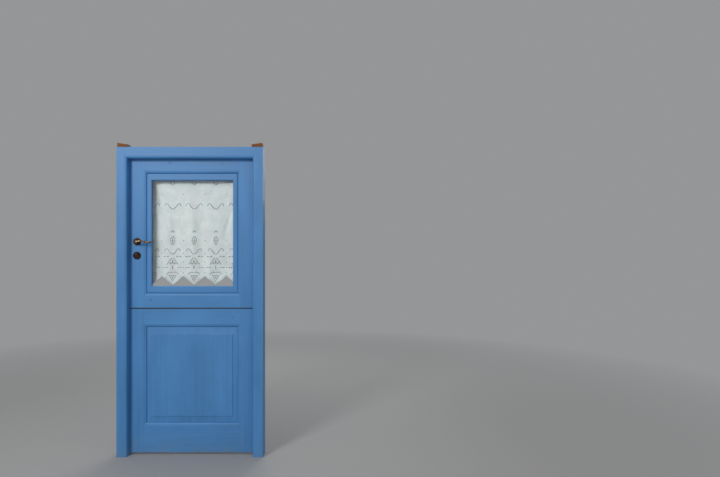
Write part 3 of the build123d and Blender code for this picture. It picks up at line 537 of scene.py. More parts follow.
@dataclass(frozen=True)
class Metal:
    """A metal with its tarnish, rubbed bright where hands touch it."""

    name: str
    bright: Colour
    dull: Colour
    smooth: float
    matt: float
    clean: float = 0.5
    wear: float = 0.5
    scale: float = 55.0
    grime: Colour = paint_value(120, 114, 100)
    scratch_depth: float = 0.01 * MM
    tarnish_depth: float = 0.04 * MM

    @cache
    def material(self) -> Material:
        """Makes the finish once.

        Returns:
            The material.
        """
        dress = Dressing(self.name)
        wire, place = dress.wire, dress.place
        tarnish = dress.shared(metal_tarnish(), Place=place, Scale=self.scale)
        rubbed = dress.shared(rubbed_edge(), Place=place, Wear=self.wear)["Mask"]
        dust = dress.shared(settled_dust(), Place=place, Reach=0.05)["Mask"]
        dulled = wire.between(tarnish["Tone"], self.clean - 0.18, self.clean + 0.18)
        body = wire.blend(dulled, self.bright, self.dull)
        body = wire.blend(rubbed, body, self.bright)
        body = wire.blend(wire.times(dust, 0.35), body, self.grime)
        scratched = wire.between(tarnish["Scratches"], 0.3, 0.7, -0.05, 0.07)
        rough = wire.between(dulled, 0.0, 1.0, self.smooth, self.matt)
        rough = wire.plus(rough, scratched, clamp=True)
        rough = wire.minus(rough, wire.times(rubbed, 0.12), clamp=True)
        dress.set(Base_Color=body, Metallic=1.0, Roughness=rough)
        dress.relief((tarnish["Scratches"], self.scratch_depth),
                     (tarnish["Tone"], self.tarnish_depth))
        return dress.material


STEEL = Metal("zinc plated steel", bright=paint_value(196, 197, 196),
              dull=paint_value(146, 147, 149), smooth=0.26, matt=0.46)
BRONZE = Metal("antique bronze", bright=paint_value(168, 142, 104),
               dull=paint_value(62, 50, 40), smooth=0.3, matt=0.5, clean=0.34)
DARK_BRONZE = Metal("dark bronze rose", bright=paint_value(112, 86, 62),
                    dull=paint_value(46, 36, 30), smooth=0.34, matt=0.55, clean=0.3, wear=0.56)
BRASS = Metal("dull brass", bright=paint_value(206, 172, 108),
              dull=paint_value(128, 100, 56), smooth=0.24, matt=0.42)
DARK_BRASS = Metal("tarnished brass", bright=paint_value(132, 108, 70),
                   dull=paint_value(58, 46, 32), smooth=0.32, matt=0.52, clean=0.36)


@dataclass(frozen=True)
class ClearGlass:
    """Clear window glass, a little uneven, with a thin film that dulls it in places."""

    tint: Colour = (0.975, 0.985, 0.982)
    bending: float = 1.45
    film: float = 0.05
    sway_depth: float = 1.5 * MM

    @cache
    def material(self) -> Material:
        """Makes the finish once, with a clear shadow.

        Returns:
            The material.
        """
        dress = Dressing("window glass")
        wire = dress.wire
        sway = wire.cloud(dress.place, 5.0, detail=1.0)
        film = wire.cloud(dress.place, 9.0, detail=4.0, rough=0.6)
        dress.set(Base_Color=self.tint, IOR=self.bending, Transmission_Weight=1.0,
                  Roughness=wire.between(film, 0.4, 0.75, to_high=self.film))
        dress.relief((sway, self.sway_depth))
        clear = wire.place("ShaderNodeBsdfTransparent", {"Color": self.tint}).outputs[0]
        shadow = wire.place("ShaderNodeLightPath").outputs["Is Shadow Ray"]
        feeds = {0: shadow, 1: dress.shader.outputs[0], 2: clear}
        through = wire.place("ShaderNodeMixShader", feeds).outputs[0]
        wire.feed(dress.output.inputs["Surface"], through)
        return dress.material


@dataclass(frozen=True)
class Cotton:
    """Cotton, white in the real curtain: the plain woven ground, or the raised stitching on it."""

    name: str
    colour: Colour
    shade: Colour
    threads: float
    thread_depth: float
    crumple_depth: float = 1.2 * MM

    @cache
    def material(self) -> Material:
        """Makes the finish once.

        Returns:
            The material.
        """
        dress = Dressing(self.name)
        wire = dress.wire
        chart = wire.place("ShaderNodeUVMap", uv_map=THREAD).outputs[0]
        weave = dress.shared(thread_weave(), Map=chart, Threads=self.threads)["Height"]
        crumple = wire.cloud(chart, 16.0, detail=4.0, rough=0.6, bend=0.4)
        slub = wire.cloud(wire.stretch(chart, (1, 0.04, 1)), 900.0, detail=2.0)
        share = wire.between(crumple, 0.3, 0.7, to_high=0.6)
        body = wire.blend(share, self.colour, self.shade)
        body = wire.blend(wire.between(slub, 0.45, 0.75, to_high=0.35), body, self.shade)
        dress.set(Base_Color=body, Roughness=wire.between(weave, 0.0, 1.0, 0.92, 0.78),
                  Sheen_Weight=0.08, Sheen_Roughness=0.5,
                  Subsurface_Weight=0.08, Subsurface_Scale=2 * MM)
        dress.relief((crumple, self.crumple_depth), (weave, self.thread_depth))
        return dress.material


# The ground's grey is white cotton dimmed by painted shade, as the curtain hangs in shade behind
# the glass.
SHADED_GROUND = Cotton("lace ground", colour=paint_value(180, 186, 185), shade=paint_value(152, 160, 161),
                threads=900.0, thread_depth=0.12 * MM)
# The stitching's darker grey is painted shade, standing for the dark room seen through the cutwork
# holes; the real thread is white.
SHADED_STITCH = Cotton("lace stitching", colour=paint_value(108, 121, 128),
                shade=paint_value(82, 94, 102), threads=1600.0, thread_depth=0.2 * MM)


def eased(mesh: Mesh, crease: float = math.radians(36)) -> Mesh:
    """Shades a mesh smooth.

    Args:
        mesh: The mesh to change.
        crease: Angle from which an edge stays sharp, in radians.

    Returns:
        The same mesh.
    """
    mesh.shade_smooth()
    mesh.set_sharp_from_angle(angle=crease)
    return mesh


def new_piece(name: str, mesh: Mesh, finish: Material) -> bpy.types.Object:
    """Object with its mesh, dressed in one finish.

    Args:
        name: The piece's name.
        mesh: Its mesh.
        finish: Its material.

    Returns:
        The object.
    """
    piece = bpy.data.objects.new(name, mesh)
    bpy.context.scene.collection.objects.link(piece)
    mesh.materials.clear()
    mesh.materials.append(finish)
    return piece


def modified(data: bpy.types.ID, kind: str, inputs: dict[str, object] | None = None,
             **settings: object) -> Mesh:
    """Plain mesh that a modifier makes.

    Args:
        data: Mesh or curve to change.
        kind: The modifier's type.
        inputs: Its geometry tree's inputs, by socket identifier.
        settings: The modifier's own options.

    Returns:
        The changed mesh.
    """
    holder = bpy.data.objects.new("holder", data)
    bpy.context.scene.collection.objects.link(holder)
    change = holder.modifiers.new("change", kind)
    for option, value in settings.items():
        setattr(change, option, value)
    for identifier, value in (inputs or {}).items():
        change[identifier] = value
    shown = holder.evaluated_get(bpy.context.evaluated_depsgraph_get())
    mesh = bpy.data.meshes.new_from_object(shown)
    bpy.data.objects.remove(holder)
    return mesh


def grown(start: bpy.types.ID, tree: Tree, values: dict[str, object]) -> Mesh:
    """Plain mesh that a geometry tree makes from a mesh or a curve.

    Args:
        start: Mesh or curve that the tree begins from.
        tree: The geometry tree.
        values: Its inputs by name.

    Returns:
        The evaluated mesh.
    """
    inputs = {
        item.identifier: values[item.name] for item in tree.interface.items_tree
        if item.item_type == "SOCKET" and item.in_out == "INPUT" and item.name in values
    }
    return modified(start, "NODES", inputs, node_group=tree)


class Growth(Wiring):
    """A geometry tree while its nodes are placed."""

    def __init__(self, name: str, takes: dict[str, str]) -> None:
        """Starts the tree.

        Args:
            name: The tree's name.
            takes: Name and socket type of each input after the geometry.
        """
        super().__init__(bpy.data.node_groups.new(name, "GeometryNodeTree"))
        face = self.tree.interface
        for label, kind in {"Geometry": GEOMETRY, **takes, "Finish": MATERIAL}.items():
            face.new_socket(label, in_out="INPUT", socket_type=kind)
        face.new_socket("Geometry", in_out="OUTPUT", socket_type=GEOMETRY)
        self.takes = self.tree.nodes.new("NodeGroupInput").outputs
        self._end = self.tree.nodes.new("NodeGroupOutput").inputs[0]

    def vector(self, **parts: Feed) -> Socket:
        """Vector from its parts X, Y and Z."""
        return self.place("ShaderNodeCombineXYZ", dict(parts)).outputs[0]

    def close(self, shape: Socket) -> Tree:
        """Realizes and dresses the shape and ends the tree with it.

        Args:
            shape: The geometry to put out.

        Returns:
            The tree.
        """
        whole = self.place("GeometryNodeRealizeInstances", {0: shape}).outputs[0]
        feeds = {"Geometry": whole, "Material": self.takes["Finish"]}
        self.feed(self._end, self.place("GeometryNodeSetMaterial", feeds).outputs[0])
        return self.tree


def seat(piece: bpy.types.Object, body: str, slot: str, *nodes: str) -> None:
    """Lets a piece ride on its body and hides the solids that it stands for.

    Args:
        piece: The object.
        body: The body that it rides on.
        slot: Not used.
        nodes: The solids that it replaces.
    """
    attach(piece, body)
    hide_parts(*nodes)
    log.info("%s rides on %s", piece.name, body)


def dress_nodes(finish: Material, nodes: Iterable[str]) -> None:
    """Gives a finish to solids that show as they are.

    Args:
        finish: The material.
        nodes: The solids.
    """
    for node in nodes:
        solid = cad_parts[node]
        if not solid.material_slots:
            solid.data.materials.append(finish)
        for slot in solid.material_slots:
            slot.material = finish
        log.info("%s keeps its solid", node)


def merged_copy(node: str) -> bmesh.types.BMesh:
    """Copies a solid's mesh and joins its corners.

    Args:
        node: The solid.

    Returns:
        The mesh in work.
    """
    work = bmesh.new()
    work.from_mesh(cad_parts[node].data)
    bmesh.ops.remove_doubles(work, verts=work.verts, dist=MERGE)
    return work


def softened(node: str, width: float, flat: float = math.radians(0.4),
             sharp: float = math.radians(40)) -> Mesh:
    """Copy of a solid whose outer edges are rounded as paint and sandpaper leave them.

    Args:
        node: The solid to copy.
        width: Width of the rounding, in metres.
        flat: Angle up to which faces count as one.
        sharp: Angle from which an edge is rounded.

    Returns:
        The mesh, with its rounded edges marked for wear.
    """
    work = merged_copy(node)
    bmesh.ops.dissolve_limit(work, angle_limit=flat, verts=work.verts, edges=work.edges)
    edges = [
        edge for edge in work.edges
        if len(edge.link_faces) == 2 and edge.is_convex and edge.calc_face_angle(0.0) > sharp
    ]
    rounded = bmesh.ops.bevel(work, geom=edges, offset=width, segments=2, profile=0.6,
                              affect="EDGES", clamp_overlap=True, loop_slide=True)
    fresh = set(rounded["faces"])
    mesh = finished(work, node, lambda corner: float(corner.face in fresh))
    return modified(mesh, "WEIGHTED_NORMAL", keep_sharp=True, weight=100)


def painted_boards(body: str, boards: dict[str, GrainWay], width: float, seed: float,
                   knots: dict[str, tuple[Spot, ...]] | None = None) -> None:
    """Makes the painted boards of one body.

    Args:
        body: The body that the boards ride on.
        boards: The boards' solids, with the way of their grain.
        width: Rounding of their edges, in metres.
        seed: Start of the boards' own patterns.
        knots: Across, height and radius of each knot that shows, by board.
    """
    for step, (node, grain) in enumerate(boards.items()):
        finish = PaintedTimber(grain, seed + step, (knots or {}).get(node, ())).material()
        piece = new_piece(f"painted_{node}", softened(node, width), finish)
        seat(piece, body, "blue_paint", node)


def lofted(rings: Sequence[Sequence[Vector]], closed: bool) -> bmesh.types.BMesh:
    """Mesh over rings of points, each joined to the next with four-sided faces.

    Args:
        rings: Points of each ring, all of one count.
        closed: Whether the last ring joins the first one. If not, both ends are filled.

    Returns:
        The mesh in work.
    """
    work = bmesh.new()
    rows = [[work.verts.new(point) for point in ring] for ring in rings]
    pairs = list(zip(rows, rows[1:])) + ([(rows[-1], rows[0])] if closed else [])
    for first, second in pairs:
        for index, vert in enumerate(first):
            after = (index + 1) % len(first)
            work.faces.new((vert, first[after], second[after], second[index]))
    for row in () if closed else (rows[0], rows[-1]):
        work.faces.new(row)
    return work


def finished(work: bmesh.types.BMesh, name: str,
             wear: Callable[[bmesh.types.BMLoop], float]) -> Mesh:
    """Closes work on a mesh, with its faces outward and its rubbed places marked.

    Args:
        work: The mesh in work, which is freed.
        name: The new mesh's name.
        wear: Share of wear at a corner of a face.

    Returns:
        The mesh, shaded smooth.
    """
    bmesh.ops.recalc_face_normals(work, faces=work.faces)
    mark = work.loops.layers.float.new(EDGE)
    for face in work.faces:
        for corner in face.loops:
            corner[mark] = wear(corner)
    mesh = bpy.data.meshes.new(name)
    work.to_mesh(mesh)
    work.free()
    return eased(mesh)


class ScrewSeat(NamedTuple):
    """Where one screw stands: its head, its direction and its length."""

    head: Vector
    way: Vector
    length: float


@cache
def crossed_screws() -> Tree:
    """Geometry tree that turns seat points into countersunk screws with crossed slots.

    Returns:
        The tree, with the screws' sizes as its inputs.
    """
    sizes = ("Head Radius", "Shank Radius", "Head Depth", "Length", "Slot Width", "Slot Length",
             "Slot Depth")
    wire = Growth("crossed screws", dict.fromkeys(sizes, NUMBER))
    takes = wire.takes
    head = wire.place("GeometryNodeMeshCone", {
        "Vertices": 20, "Radius Top": takes["Shank Radius"],
        "Radius Bottom": takes["Head Radius"], "Depth": takes["Head Depth"]})
    shank_length = wire.minus(takes["Length"], wire.times(takes["Head Depth"], 0.6))
    shank = wire.place("GeometryNodeMeshCylinder", {
        "Vertices": 14, "Radius": wire.times(takes["Shank Radius"], 0.96),
        "Depth": shank_length})
    drop = wire.minus(takes["Length"], wire.times(shank_length, 0.5))
    moved = wire.place("GeometryNodeTransform", {
        "Geometry": shank.outputs["Mesh"], "Translation": wire.vector(Z=drop)})
    whole = wire.place("GeometryNodeMeshBoolean", operation="UNION", solver="EXACT")
    for part in (head.outputs["Mesh"], moved.outputs[0]):
        wire.feed(whole.inputs["Mesh 2"], part)
    cut = wire.place("GeometryNodeMeshBoolean", {"Mesh 1": whole.outputs["Mesh"]},
                     operation="DIFFERENCE", solver="EXACT")
    deep = wire.times(takes["Slot Depth"], 2.0)
    for first, second in (("Slot Length", "Slot Width"), ("Slot Width", "Slot Length")):
        size = wire.vector(X=takes[first], Y=takes[second], Z=deep)
        bar = wire.place("GeometryNodeMeshCube", {"Size": size}).outputs["Mesh"]
        wire.feed(cut.inputs["Mesh 2"], bar)
    turn = wire.place("GeometryNodeInputNamedAttribute", {"Name": TURN}, data_type="FLOAT_VECTOR")
    spread = wire.place("GeometryNodeInstanceOnPoints", {
        "Points": takes["Geometry"], "Instance": cut.outputs["Mesh"],
        "Rotation": turn.outputs[0]})
    return wire.close(spread.outputs[0])


@dataclass
class ScrewRow:
    """Countersunk screws with crossed slots, one where each solid screw stands."""

    seed: int
    head_radius: float = 4.0 * MM
    shank_radius: float = 2.0 * MM
    head_depth: float = 2.0 * MM
    slot_width: float = 1.1 * MM
    slot_length: float = 4.6 * MM
    slot_depth: float = 1.5 * MM
    end_reach: float = 0.1 * MM

    def build(self, body: str, node: str) -> None:
        """Makes the screws of one body.

        Args:
            body: The body that they ride on.
            node: The solid screws that they stand for.
        """
        spin = Random(self.seed)
        lengths: dict[float, list[ScrewSeat]] = {}
        for place in self.seats(node):
            lengths.setdefault(round(place.length, 3), []).append(place)
        merged = bmesh.new()
        for length, places in lengths.items():
            merged.from_mesh(self.grown_on(places, length, spin))
        mesh = bpy.data.meshes.new(node)
        merged.to_mesh(mesh)
        merged.free()
        piece = new_piece(f"crossed_{node}", eased(mesh), STEEL.material())
        seat(piece, body, "bright_steel", node)

    def grown_on(self, places: Sequence[ScrewSeat], length: float, spin: Random) -> Mesh:
        """Screws of one length on their seats.

        Args:
            places: The seats.
            length: The screws' length, in metres.
            spin: Draws the turn of each slot.

        Returns:
            The screws as one mesh.
        """
        points = bpy.data.meshes.new("seats")
        points.from_pydata([place.head for place in places], [], [])
        turns = points.attributes.new(TURN, "FLOAT_VECTOR", "POINT")
        for entry, place in zip(turns.data, places):
            aim = Vector((0, 0, 1)).rotation_difference(place.way).to_matrix()
            turned = aim @ Matrix.Rotation(spin.uniform(0, math.pi), 3, "Z")
            entry.vector = Vector(turned.to_euler())
        return grown(points, crossed_screws(), {
            "Head Radius": self.head_radius, "Shank Radius": self.shank_radius,
            "Head Depth": self.head_depth, "Length": length, "Slot Width": self.slot_width,
            "Slot Length": self.slot_length, "Slot Depth": self.slot_depth,
            "Finish": STEEL.material()})

    def seats(self, node: str) -> list[ScrewSeat]:
        """Finds each screw of a node.

        Args:
            node: The solid screws.

        Returns:
            Their seats, sorted by height and then from left to right.
        """
        work = merged_copy(node)
        left, found = set(work.verts), []
        while left:
            stack = [left.pop()]
            island = list(stack)
            while stack:
                near = {vert for edge in stack.pop().link_edges for vert in edge.verts} & left
                left -= near
                stack += near
                island += near
            found.append([vert.co.copy() for vert in island])
        work.free()
        found.sort(key=lambda points: tuple(
            round(sum(point[axis] for point in points) / len(points), 4) for axis in (2, 0, 1)))
        return [self.seat_of(points) for points in found]

    def seat_of(self, points: Sequence[Vector]) -> ScrewSeat:
        """Reads one screw's seat from its points.

        Args:
            points: The points of its solid.

        Returns:
            The seat, with the head at the wider end.
        """
        low, high = (Vector([end(point[axis] for point in points) for axis in range(3)])
                     for end in (min, max))
        middle, span = (low + high) / 2, high - low
        along = max(range(3), key=lambda axis: span[axis])

        def radius(end: float) -> float:
            """Radius of the screw at one end.

            Args:
                end: Place of the end along the screw.

            Returns:
                The radius, in metres.
            """
            near = [point - middle for point in points if abs(point[along] - end) < self.end_reach]
            for offset in near:
                offset[along] = 0.0
            return max((offset.length for offset in near), default=0.0)

        forward = radius(low[along]) > radius(high[along])
        head, way = middle.copy(), Vector()
        head[along] = low[along] if forward else high[along]
        way[along] = 1.0 if forward else -1.0
        return ScrewSeat(head, way, span[along])


def hinge_halves(leaf: str, kind: str) -> list[str]:
    """Solids of one kind of hinge half on a leaf's two hinges."""
    return [f"{leaf}_{end}_hinge_{kind}_half" for end in ("bottom", "top")]


@dataclass
class TimberFrame:
    """Jambs, head, packers, hinge halves, strike plate and side bolt keeper."""

    softening: float = 0.8 * MM
    packer_softening: float = 0.5 * MM
    seed: float = 1.0
    screw_seed: int = 3
    boards: dict[str, GrainWay] = field(default_factory=lambda: {
        "left_jamb": GrainWay.UPRIGHT,
        "right_jamb": GrainWay.UPRIGHT,
        "frame_head": GrainWay.LEVEL,
    })

    def build(self) -> None:
        """Makes the boards and dresses the ironwork."""
        painted_boards("frame", self.boards, self.softening, self.seed)
        for step, node in enumerate(("left_packer", "right_packer")):
            wood = BareWood(self.seed + step).material()
            piece = new_piece(f"sawn_{node}", softened(node, self.packer_softening), wood)
            seat(piece, "frame", "bare_wood", node)
        dress_nodes(STEEL.material(), (
            "strike_plate", "side_bolt_keeper", "hinge_pins",
            *hinge_halves("lower_leaf", "fixed"), *hinge_halves("upper_leaf", "fixed")))
        ScrewRow(self.screw_seed).build("frame", "frame_screws")


@dataclass
class LowerLeaf:
    """Panelled leaf with its hinge halves, its bolt and the other leaf's keeper."""

    softening: float = 0.8 * MM
    seed: float = 11.0
    screw_seed: int = 5
    boards: dict[str, GrainWay] = field(default_factory=lambda: {
        "lower_left_stile": GrainWay.UPRIGHT,
        "lower_right_stile": GrainWay.UPRIGHT,
        "lower_leaf_top_rail": GrainWay.LEVEL,
        "lower_leaf_bottom_rail": GrainWay.LEVEL,
        "raised_panel": GrainWay.UPRIGHT,
    })
    knots: dict[str, tuple[Spot, ...]] = field(default_factory=lambda: {
        "lower_leaf_top_rail": ((0.272, 0.913, 0.006),),
    })

    def build(self) -> None:
        """Makes the boards and dresses the ironwork."""
        painted_boards("lower_leaf", self.boards, self.softening, self.seed, self.knots)
        dress_nodes(STEEL.material(), (
            *hinge_halves("lower_leaf", "swinging"),
            "side_bolt_plate", "joining_bolt_keeper", "side_bolt"))
        ScrewRow(self.screw_seed).build("lower_leaf", "lower_leaf_screws")


@dataclass
class UpperLeaf:
    """Glazed leaf with its beads, lock, hinge halves and curtain rod."""

    softening: float = 0.8 * MM
    bead_softening: float = 0.4 * MM
    seed: float = 21.0
    bead_seed: float = 31.0
    screw_seed: int = 9
    boards: dict[str, GrainWay] = field(default_factory=lambda: {
        "upper_left_stile": GrainWay.UPRIGHT,
        "upper_right_stile": GrainWay.UPRIGHT,
        "upper_leaf_top_rail": GrainWay.LEVEL,
        "upper_leaf_bottom_rail": GrainWay.LEVEL,
    })
    bead_sides: dict[str, GrainWay] = field(default_factory=lambda: {
        "left": GrainWay.UPRIGHT,
        "right": GrainWay.UPRIGHT,
        "top": GrainWay.LEVEL,
        "bottom": GrainWay.LEVEL,
    })
    knots: dict[str, tuple[Spot, ...]] = field(default_factory=lambda: {
        "upper_leaf_top_rail": ((-0.147, 1.95, 0.011), (0.206, 1.944, 0.007)),
        "upper_leaf_bottom_rail": ((-0.274, 1.033, 0.009),),
    })

    def build(self) -> None:
        """Makes the boards and beads and dresses the glass and the ironwork."""
        painted_boards("upper_leaf", self.boards, self.softening, self.seed, self.knots)
        for kind in ("glazing_moulding", "inside_bead"):
            beads = {f"{kind}_{side}": grain for side, grain in self.bead_sides.items()}
            painted_boards("upper_leaf", beads, self.bead_softening, self.bead_seed)
        dress_nodes(ClearGlass().material(), ("window_glass",))
        dress_nodes(STEEL.material(), (
            *hinge_halves("upper_leaf", "swinging"),
            "lock_case", "lock_faceplate", "latch_follower", "lever_spindle", "latch_bolt",
            "dead_bolt", "joining_bolt_plate", "joining_bolt"))
        dress_nodes(BRASS.material(), ("curtain_rod", "curtain_rod_brackets"))
        dress_nodes(DARK_BRASS.material(), ("lock_cylinder", "cylinder_plug"))
        ScrewRow(self.screw_seed).build("upper_leaf", "upper_leaf_screws")


class Section(NamedTuple):
    """One section of a lever: its centre from the lever's axis, and half its sizes."""

    along: float
    out: float
    up: float
    thick: float
    wide: float


@dataclass
class Furniture:
    """Waved lever handles and the turned roses under them and round the cylinder.

    The profile of the lever rose gives radius and height in millimetres.
    """

    lever_x: float = -367 * MM
    lever_z: float = 1424 * MM
    faces: dict[Side, float] = field(default_factory=lambda: {
        Side.OUTER: -20.5 * MM,
        Side.INNER: 24.5 * MM,
    })
    foot: float = 1 * MM
    reach: float = 49 * MM
    bend: float = 12 * MM
    length: float = 112 * MM
    neck: float = 8.4 * MM
    neck_waist: float = 1.5 * MM
    grip_thick: float = 5.0 * MM
    grip_wide: float = 7.6 * MM
    thick_waist: float = 0.9 * MM
    wide_waist: float = 2.2 * MM
    waist_share: float = 0.8
    wave: float = 4 * MM
    wave_start: float = 0.25
    tip_share: float = 0.08
    squareness: float = 0.86
    sides: int = 28
    turns: int = 56
    bend_steps: int = 8
    grip_steps: int = 34
    tip_steps: int = 8
    lever_rose: tuple[Point, ...] = (
        (9.4, 0), (9.4, 6.6), (10.2, 7.6), (12, 7.8), (13.2, 7), (15, 6), (18.5, 5.8),
        (21, 6.6), (23, 6.4), (24.8, 4.8), (25.8, 2.2), (26, 0))
    ridges: tuple[float, ...] = (10.2, 12, 21, 23)

    def build(self) -> None:
        """Makes both levers and their roses."""
        for side in Side:
            word = side.name.lower()
            lever = new_piece(f"waved_{word}_lever", self.lever(side), BRONZE.material())
            seat(lever, "lever_set", "dark_bronze", f"{word}_lever")
            finish = DARK_BRONZE.material()
            rose = new_piece(f"turned_{word}_lever_rose", self.rose(side), finish)
            seat(rose, "upper_leaf", "dark_bronze", f"{word}_lever_rose")
        dress_nodes(DARK_BRONZE.material(), ("outer_cylinder_rose", "inner_cylinder_rose"))

    def spot(self, side: Side, along: float, out: float, up: float) -> Vector:
        """Point in the door's frame, from its place on the lever's axis."""
        face = self.faces[side] + side.value * out
        return Vector((self.lever_x + along, face, self.lever_z + up))

    def sections(self) -> list[Section]:
        """Sections of a lever: its neck, its bend, its waved grip and its tip.

        Returns:
            The sections in order from the rose.
        """
        straight, thin = self.reach - self.bend, self.neck - self.neck_waist
        shares = [step / self.bend_steps for step in range(self.bend_steps + 1)]
        found = []
        for share in shares:
            size = self.neck - self.neck_waist * math.sin(share * QUARTER)
            out = self.foot + share * (straight - self.foot)
            found.append(Section(0.0, out, 0.0, size, size))
        for share in shares[1:]:
            angle = share * QUARTER
            found.append(Section(
                along=self.bend * (1 - math.cos(angle)),
                out=straight + self.bend * math.sin(angle),
                up=0.0,
                thick=thin + (self.grip_thick - thin) * share,
                wide=thin + (self.grip_wide - thin) * share))
        for share, size in self.grip():
            flow = math.sin(min(1.0, share / self.waist_share) * math.pi)
            thick = self.grip_thick - self.thick_waist * math.sin(share * math.pi)
            found.append(Section(
                along=self.bend + share * (self.length - self.bend),
                out=self.reach,
                up=self.wave * math.sin(share * math.tau) * min(1.0, share / self.wave_start),
                thick=thick * size,
                wide=(self.grip_wide - self.wide_waist * flow) * size))
        return found

    def grip(self) -> list[Point]:
        """Lays out the sections of the grip and its tip.

        Returns:
            Share of the grip's length and of its full size at each section.
        """
        full = 1 - self.tip_share
        found = [(full * step / self.grip_steps, 1.0) for step in range(1, self.grip_steps + 1)]
        for step in range(1, self.tip_steps + 1):
            angle = step / (self.tip_steps + 1) * QUARTER
            found.append((full + self.tip_share * math.sin(angle), math.cos(angle)))
        return found

    def squared(self, share: float) -> float:
        """Sine or cosine drawn out so that a section is a little fuller at its corners."""
        return math.copysign(abs(share) ** self.squareness, share)

    def lever(self, side: Side) -> Mesh:
        """Sweeps one lever along its path.

        Args:
            side: The leaf's face that it stands on.

        Returns:
            The lever, rubbed on the outside of its grip.
        """
        found, rings = self.sections(), []
        for before, here, after in zip([found[0], *found], found, [*found[1:], found[-1]]):
            way = Vector([late - early for early, late in zip(before[:3], after[:3])]).normalized()
            flat = Vector((-way.y, way.x, 0)).normalized()
            tall = way.cross(flat)
            ring = []
            for turn in range(self.sides):
                angle = turn / self.sides * math.tau
                first = flat * (self.squared(math.cos(angle)) * here.thick)
                second = tall * (self.squared(math.sin(angle)) * here.wide)
                ring.append(self.spot(side, *(Vector(here[:3]) + first + second)))
            rings.append(ring)

        def rubbed(corner: bmesh.types.BMLoop) -> float:
            """Wear, which is most on the outside of the grip.

            Args:
                corner: Corner of a face.

            Returns:
                The share of wear.
            """
            place = corner.vert.co
            out = (place.y - self.faces[side]) * side.value
            front = max(0.0, (out - self.reach + 1 * MM) / (4 * MM))
            edge = max(0.0, (abs(place.z - self.lever_z) - 6 * MM) / (5 * MM))
            return min(1.0, front + edge)

        return finished(lofted(rings, closed=False), f"{side.name}_lever", rubbed)

    def rose(self, side: Side) -> Mesh:
        """Turns one lever rose from its profile.

        Args:
            side: The leaf's face that it stands on.

        Returns:
            The rose, rubbed on its ridges.
        """
        angles = [turn / self.turns * math.tau for turn in range(self.turns)]
        rings = [
            [self.spot(side, radius * MM * math.cos(angle), out * MM, radius * MM * math.sin(angle))
             for angle in angles]
            for radius, out in self.lever_rose
        ]

        def rubbed(corner: bmesh.types.BMLoop) -> float:
            """Wear, which is on the turned ridges only.

            Args:
                corner: Corner of a face.

            Returns:
                The share of wear.
            """
            place = corner.vert.co
            radius = math.hypot(place.x - self.lever_x, place.z - self.lever_z) / MM
            return float(any(abs(radius - ridge) < 0.2 for ridge in self.ridges))

        return finished(lofted(rings, closed=True), f"{side.name}_rose", rubbed)


def pointed_oval(middle: Point, length: float, width: float, turn: float,
                 count: int = 14) -> Loop:
    """Outline of a leaf-shaped hole.

    Args:
        middle: Its middle on the flat cloth.
        length: Its length, in metres.
        width: Its width, in metres.
        turn: Its turn from level, in radians.
        count: How many points it has.

    Returns:
        The outline.
    """
    half = count // 2
    cos, sin = math.cos(turn), math.sin(turn)
    shape = []
    for step in range(count):
        share = (step % half) / half
        side = 1 if step < half else -1
        x, y = (share - 0.5) * side * length, side * width / 2 * math.sin(share * math.pi)
        shape.append((middle[0] + x * cos - y * sin, middle[1] + x * sin + y * cos))
    return shape


def eyelet(middle: Point, radius: float, count: int = 8) -> Loop:
    """Outline of a small round hole.

    Args:
        middle: Its middle on the flat cloth.
        radius: Its radius, in metres.
        count: How many points it has.

    Returns:
        The outline.
    """
    angles = [step / count * math.tau for step in range(count)]
    return [(middle[0] + radius * math.cos(angle), middle[1] + radius * math.sin(angle))
            for angle in angles]


def turns_left(loop: Loop) -> bool:
    """Whether a closed line runs against the clock."""
    pairs = zip(loop, [*loop[1:], loop[0]])
    return sum(ax * by - bx * ay for (ax, ay), (bx, by) in pairs) > 0


class Chain(NamedTuple):
    """Leaf-shaped holes that follow a bent line, beside a column of the pattern."""

    path: tuple[Point, ...]
    count: int
    length: float
    width: float

    def holes(self, column: float, side: int) -> list[Loop]:
        """Outlines of the chain's holes.

        Args:
            column: Place of the column across the cloth.
            side: 1 to the right of the column and -1 to its left.

        Returns:
            The outlines in order along the line.
        """
        spots = [Vector((column + side * x, z)) for x, z in self.path]
        runs = [(after - before).length for before, after in zip(spots, spots[1:])]
        found = []
        for step in range(self.count):
            left, index = sum(runs) * (step + 0.5) / self.count, 0
            while left > runs[index] and index < len(runs) - 1:
                left -= runs[index]
                index += 1
            way = spots[index + 1] - spots[index]
            spot = tuple(spots[index] + way * (left / runs[index]))
            turn = math.atan2(way.y, way.x)
            found.append(pointed_oval(spot, self.length, self.width, turn, 10))
        return found


class Leaves(NamedTuple):
    """Single leaf-shaped holes beside a column, which lean toward it or away from it."""

    places: tuple[Point, ...]
    length: float
    width: float
    turn: float = 0.0
    lean: float = 0.0

    def holes(self, column: float, side: int) -> list[Loop]:
        """Outlines of the leaves.

        Args:
            column: Place of the column across the cloth.
            side: 1 to the right of the column and -1 to its left.

        Returns:
            The outlines in the order of their places.
        """
        turn = self.turn + side * self.lean
        return [pointed_oval((column + side * x, z), self.length, self.width, turn)
                for x, z in self.places]


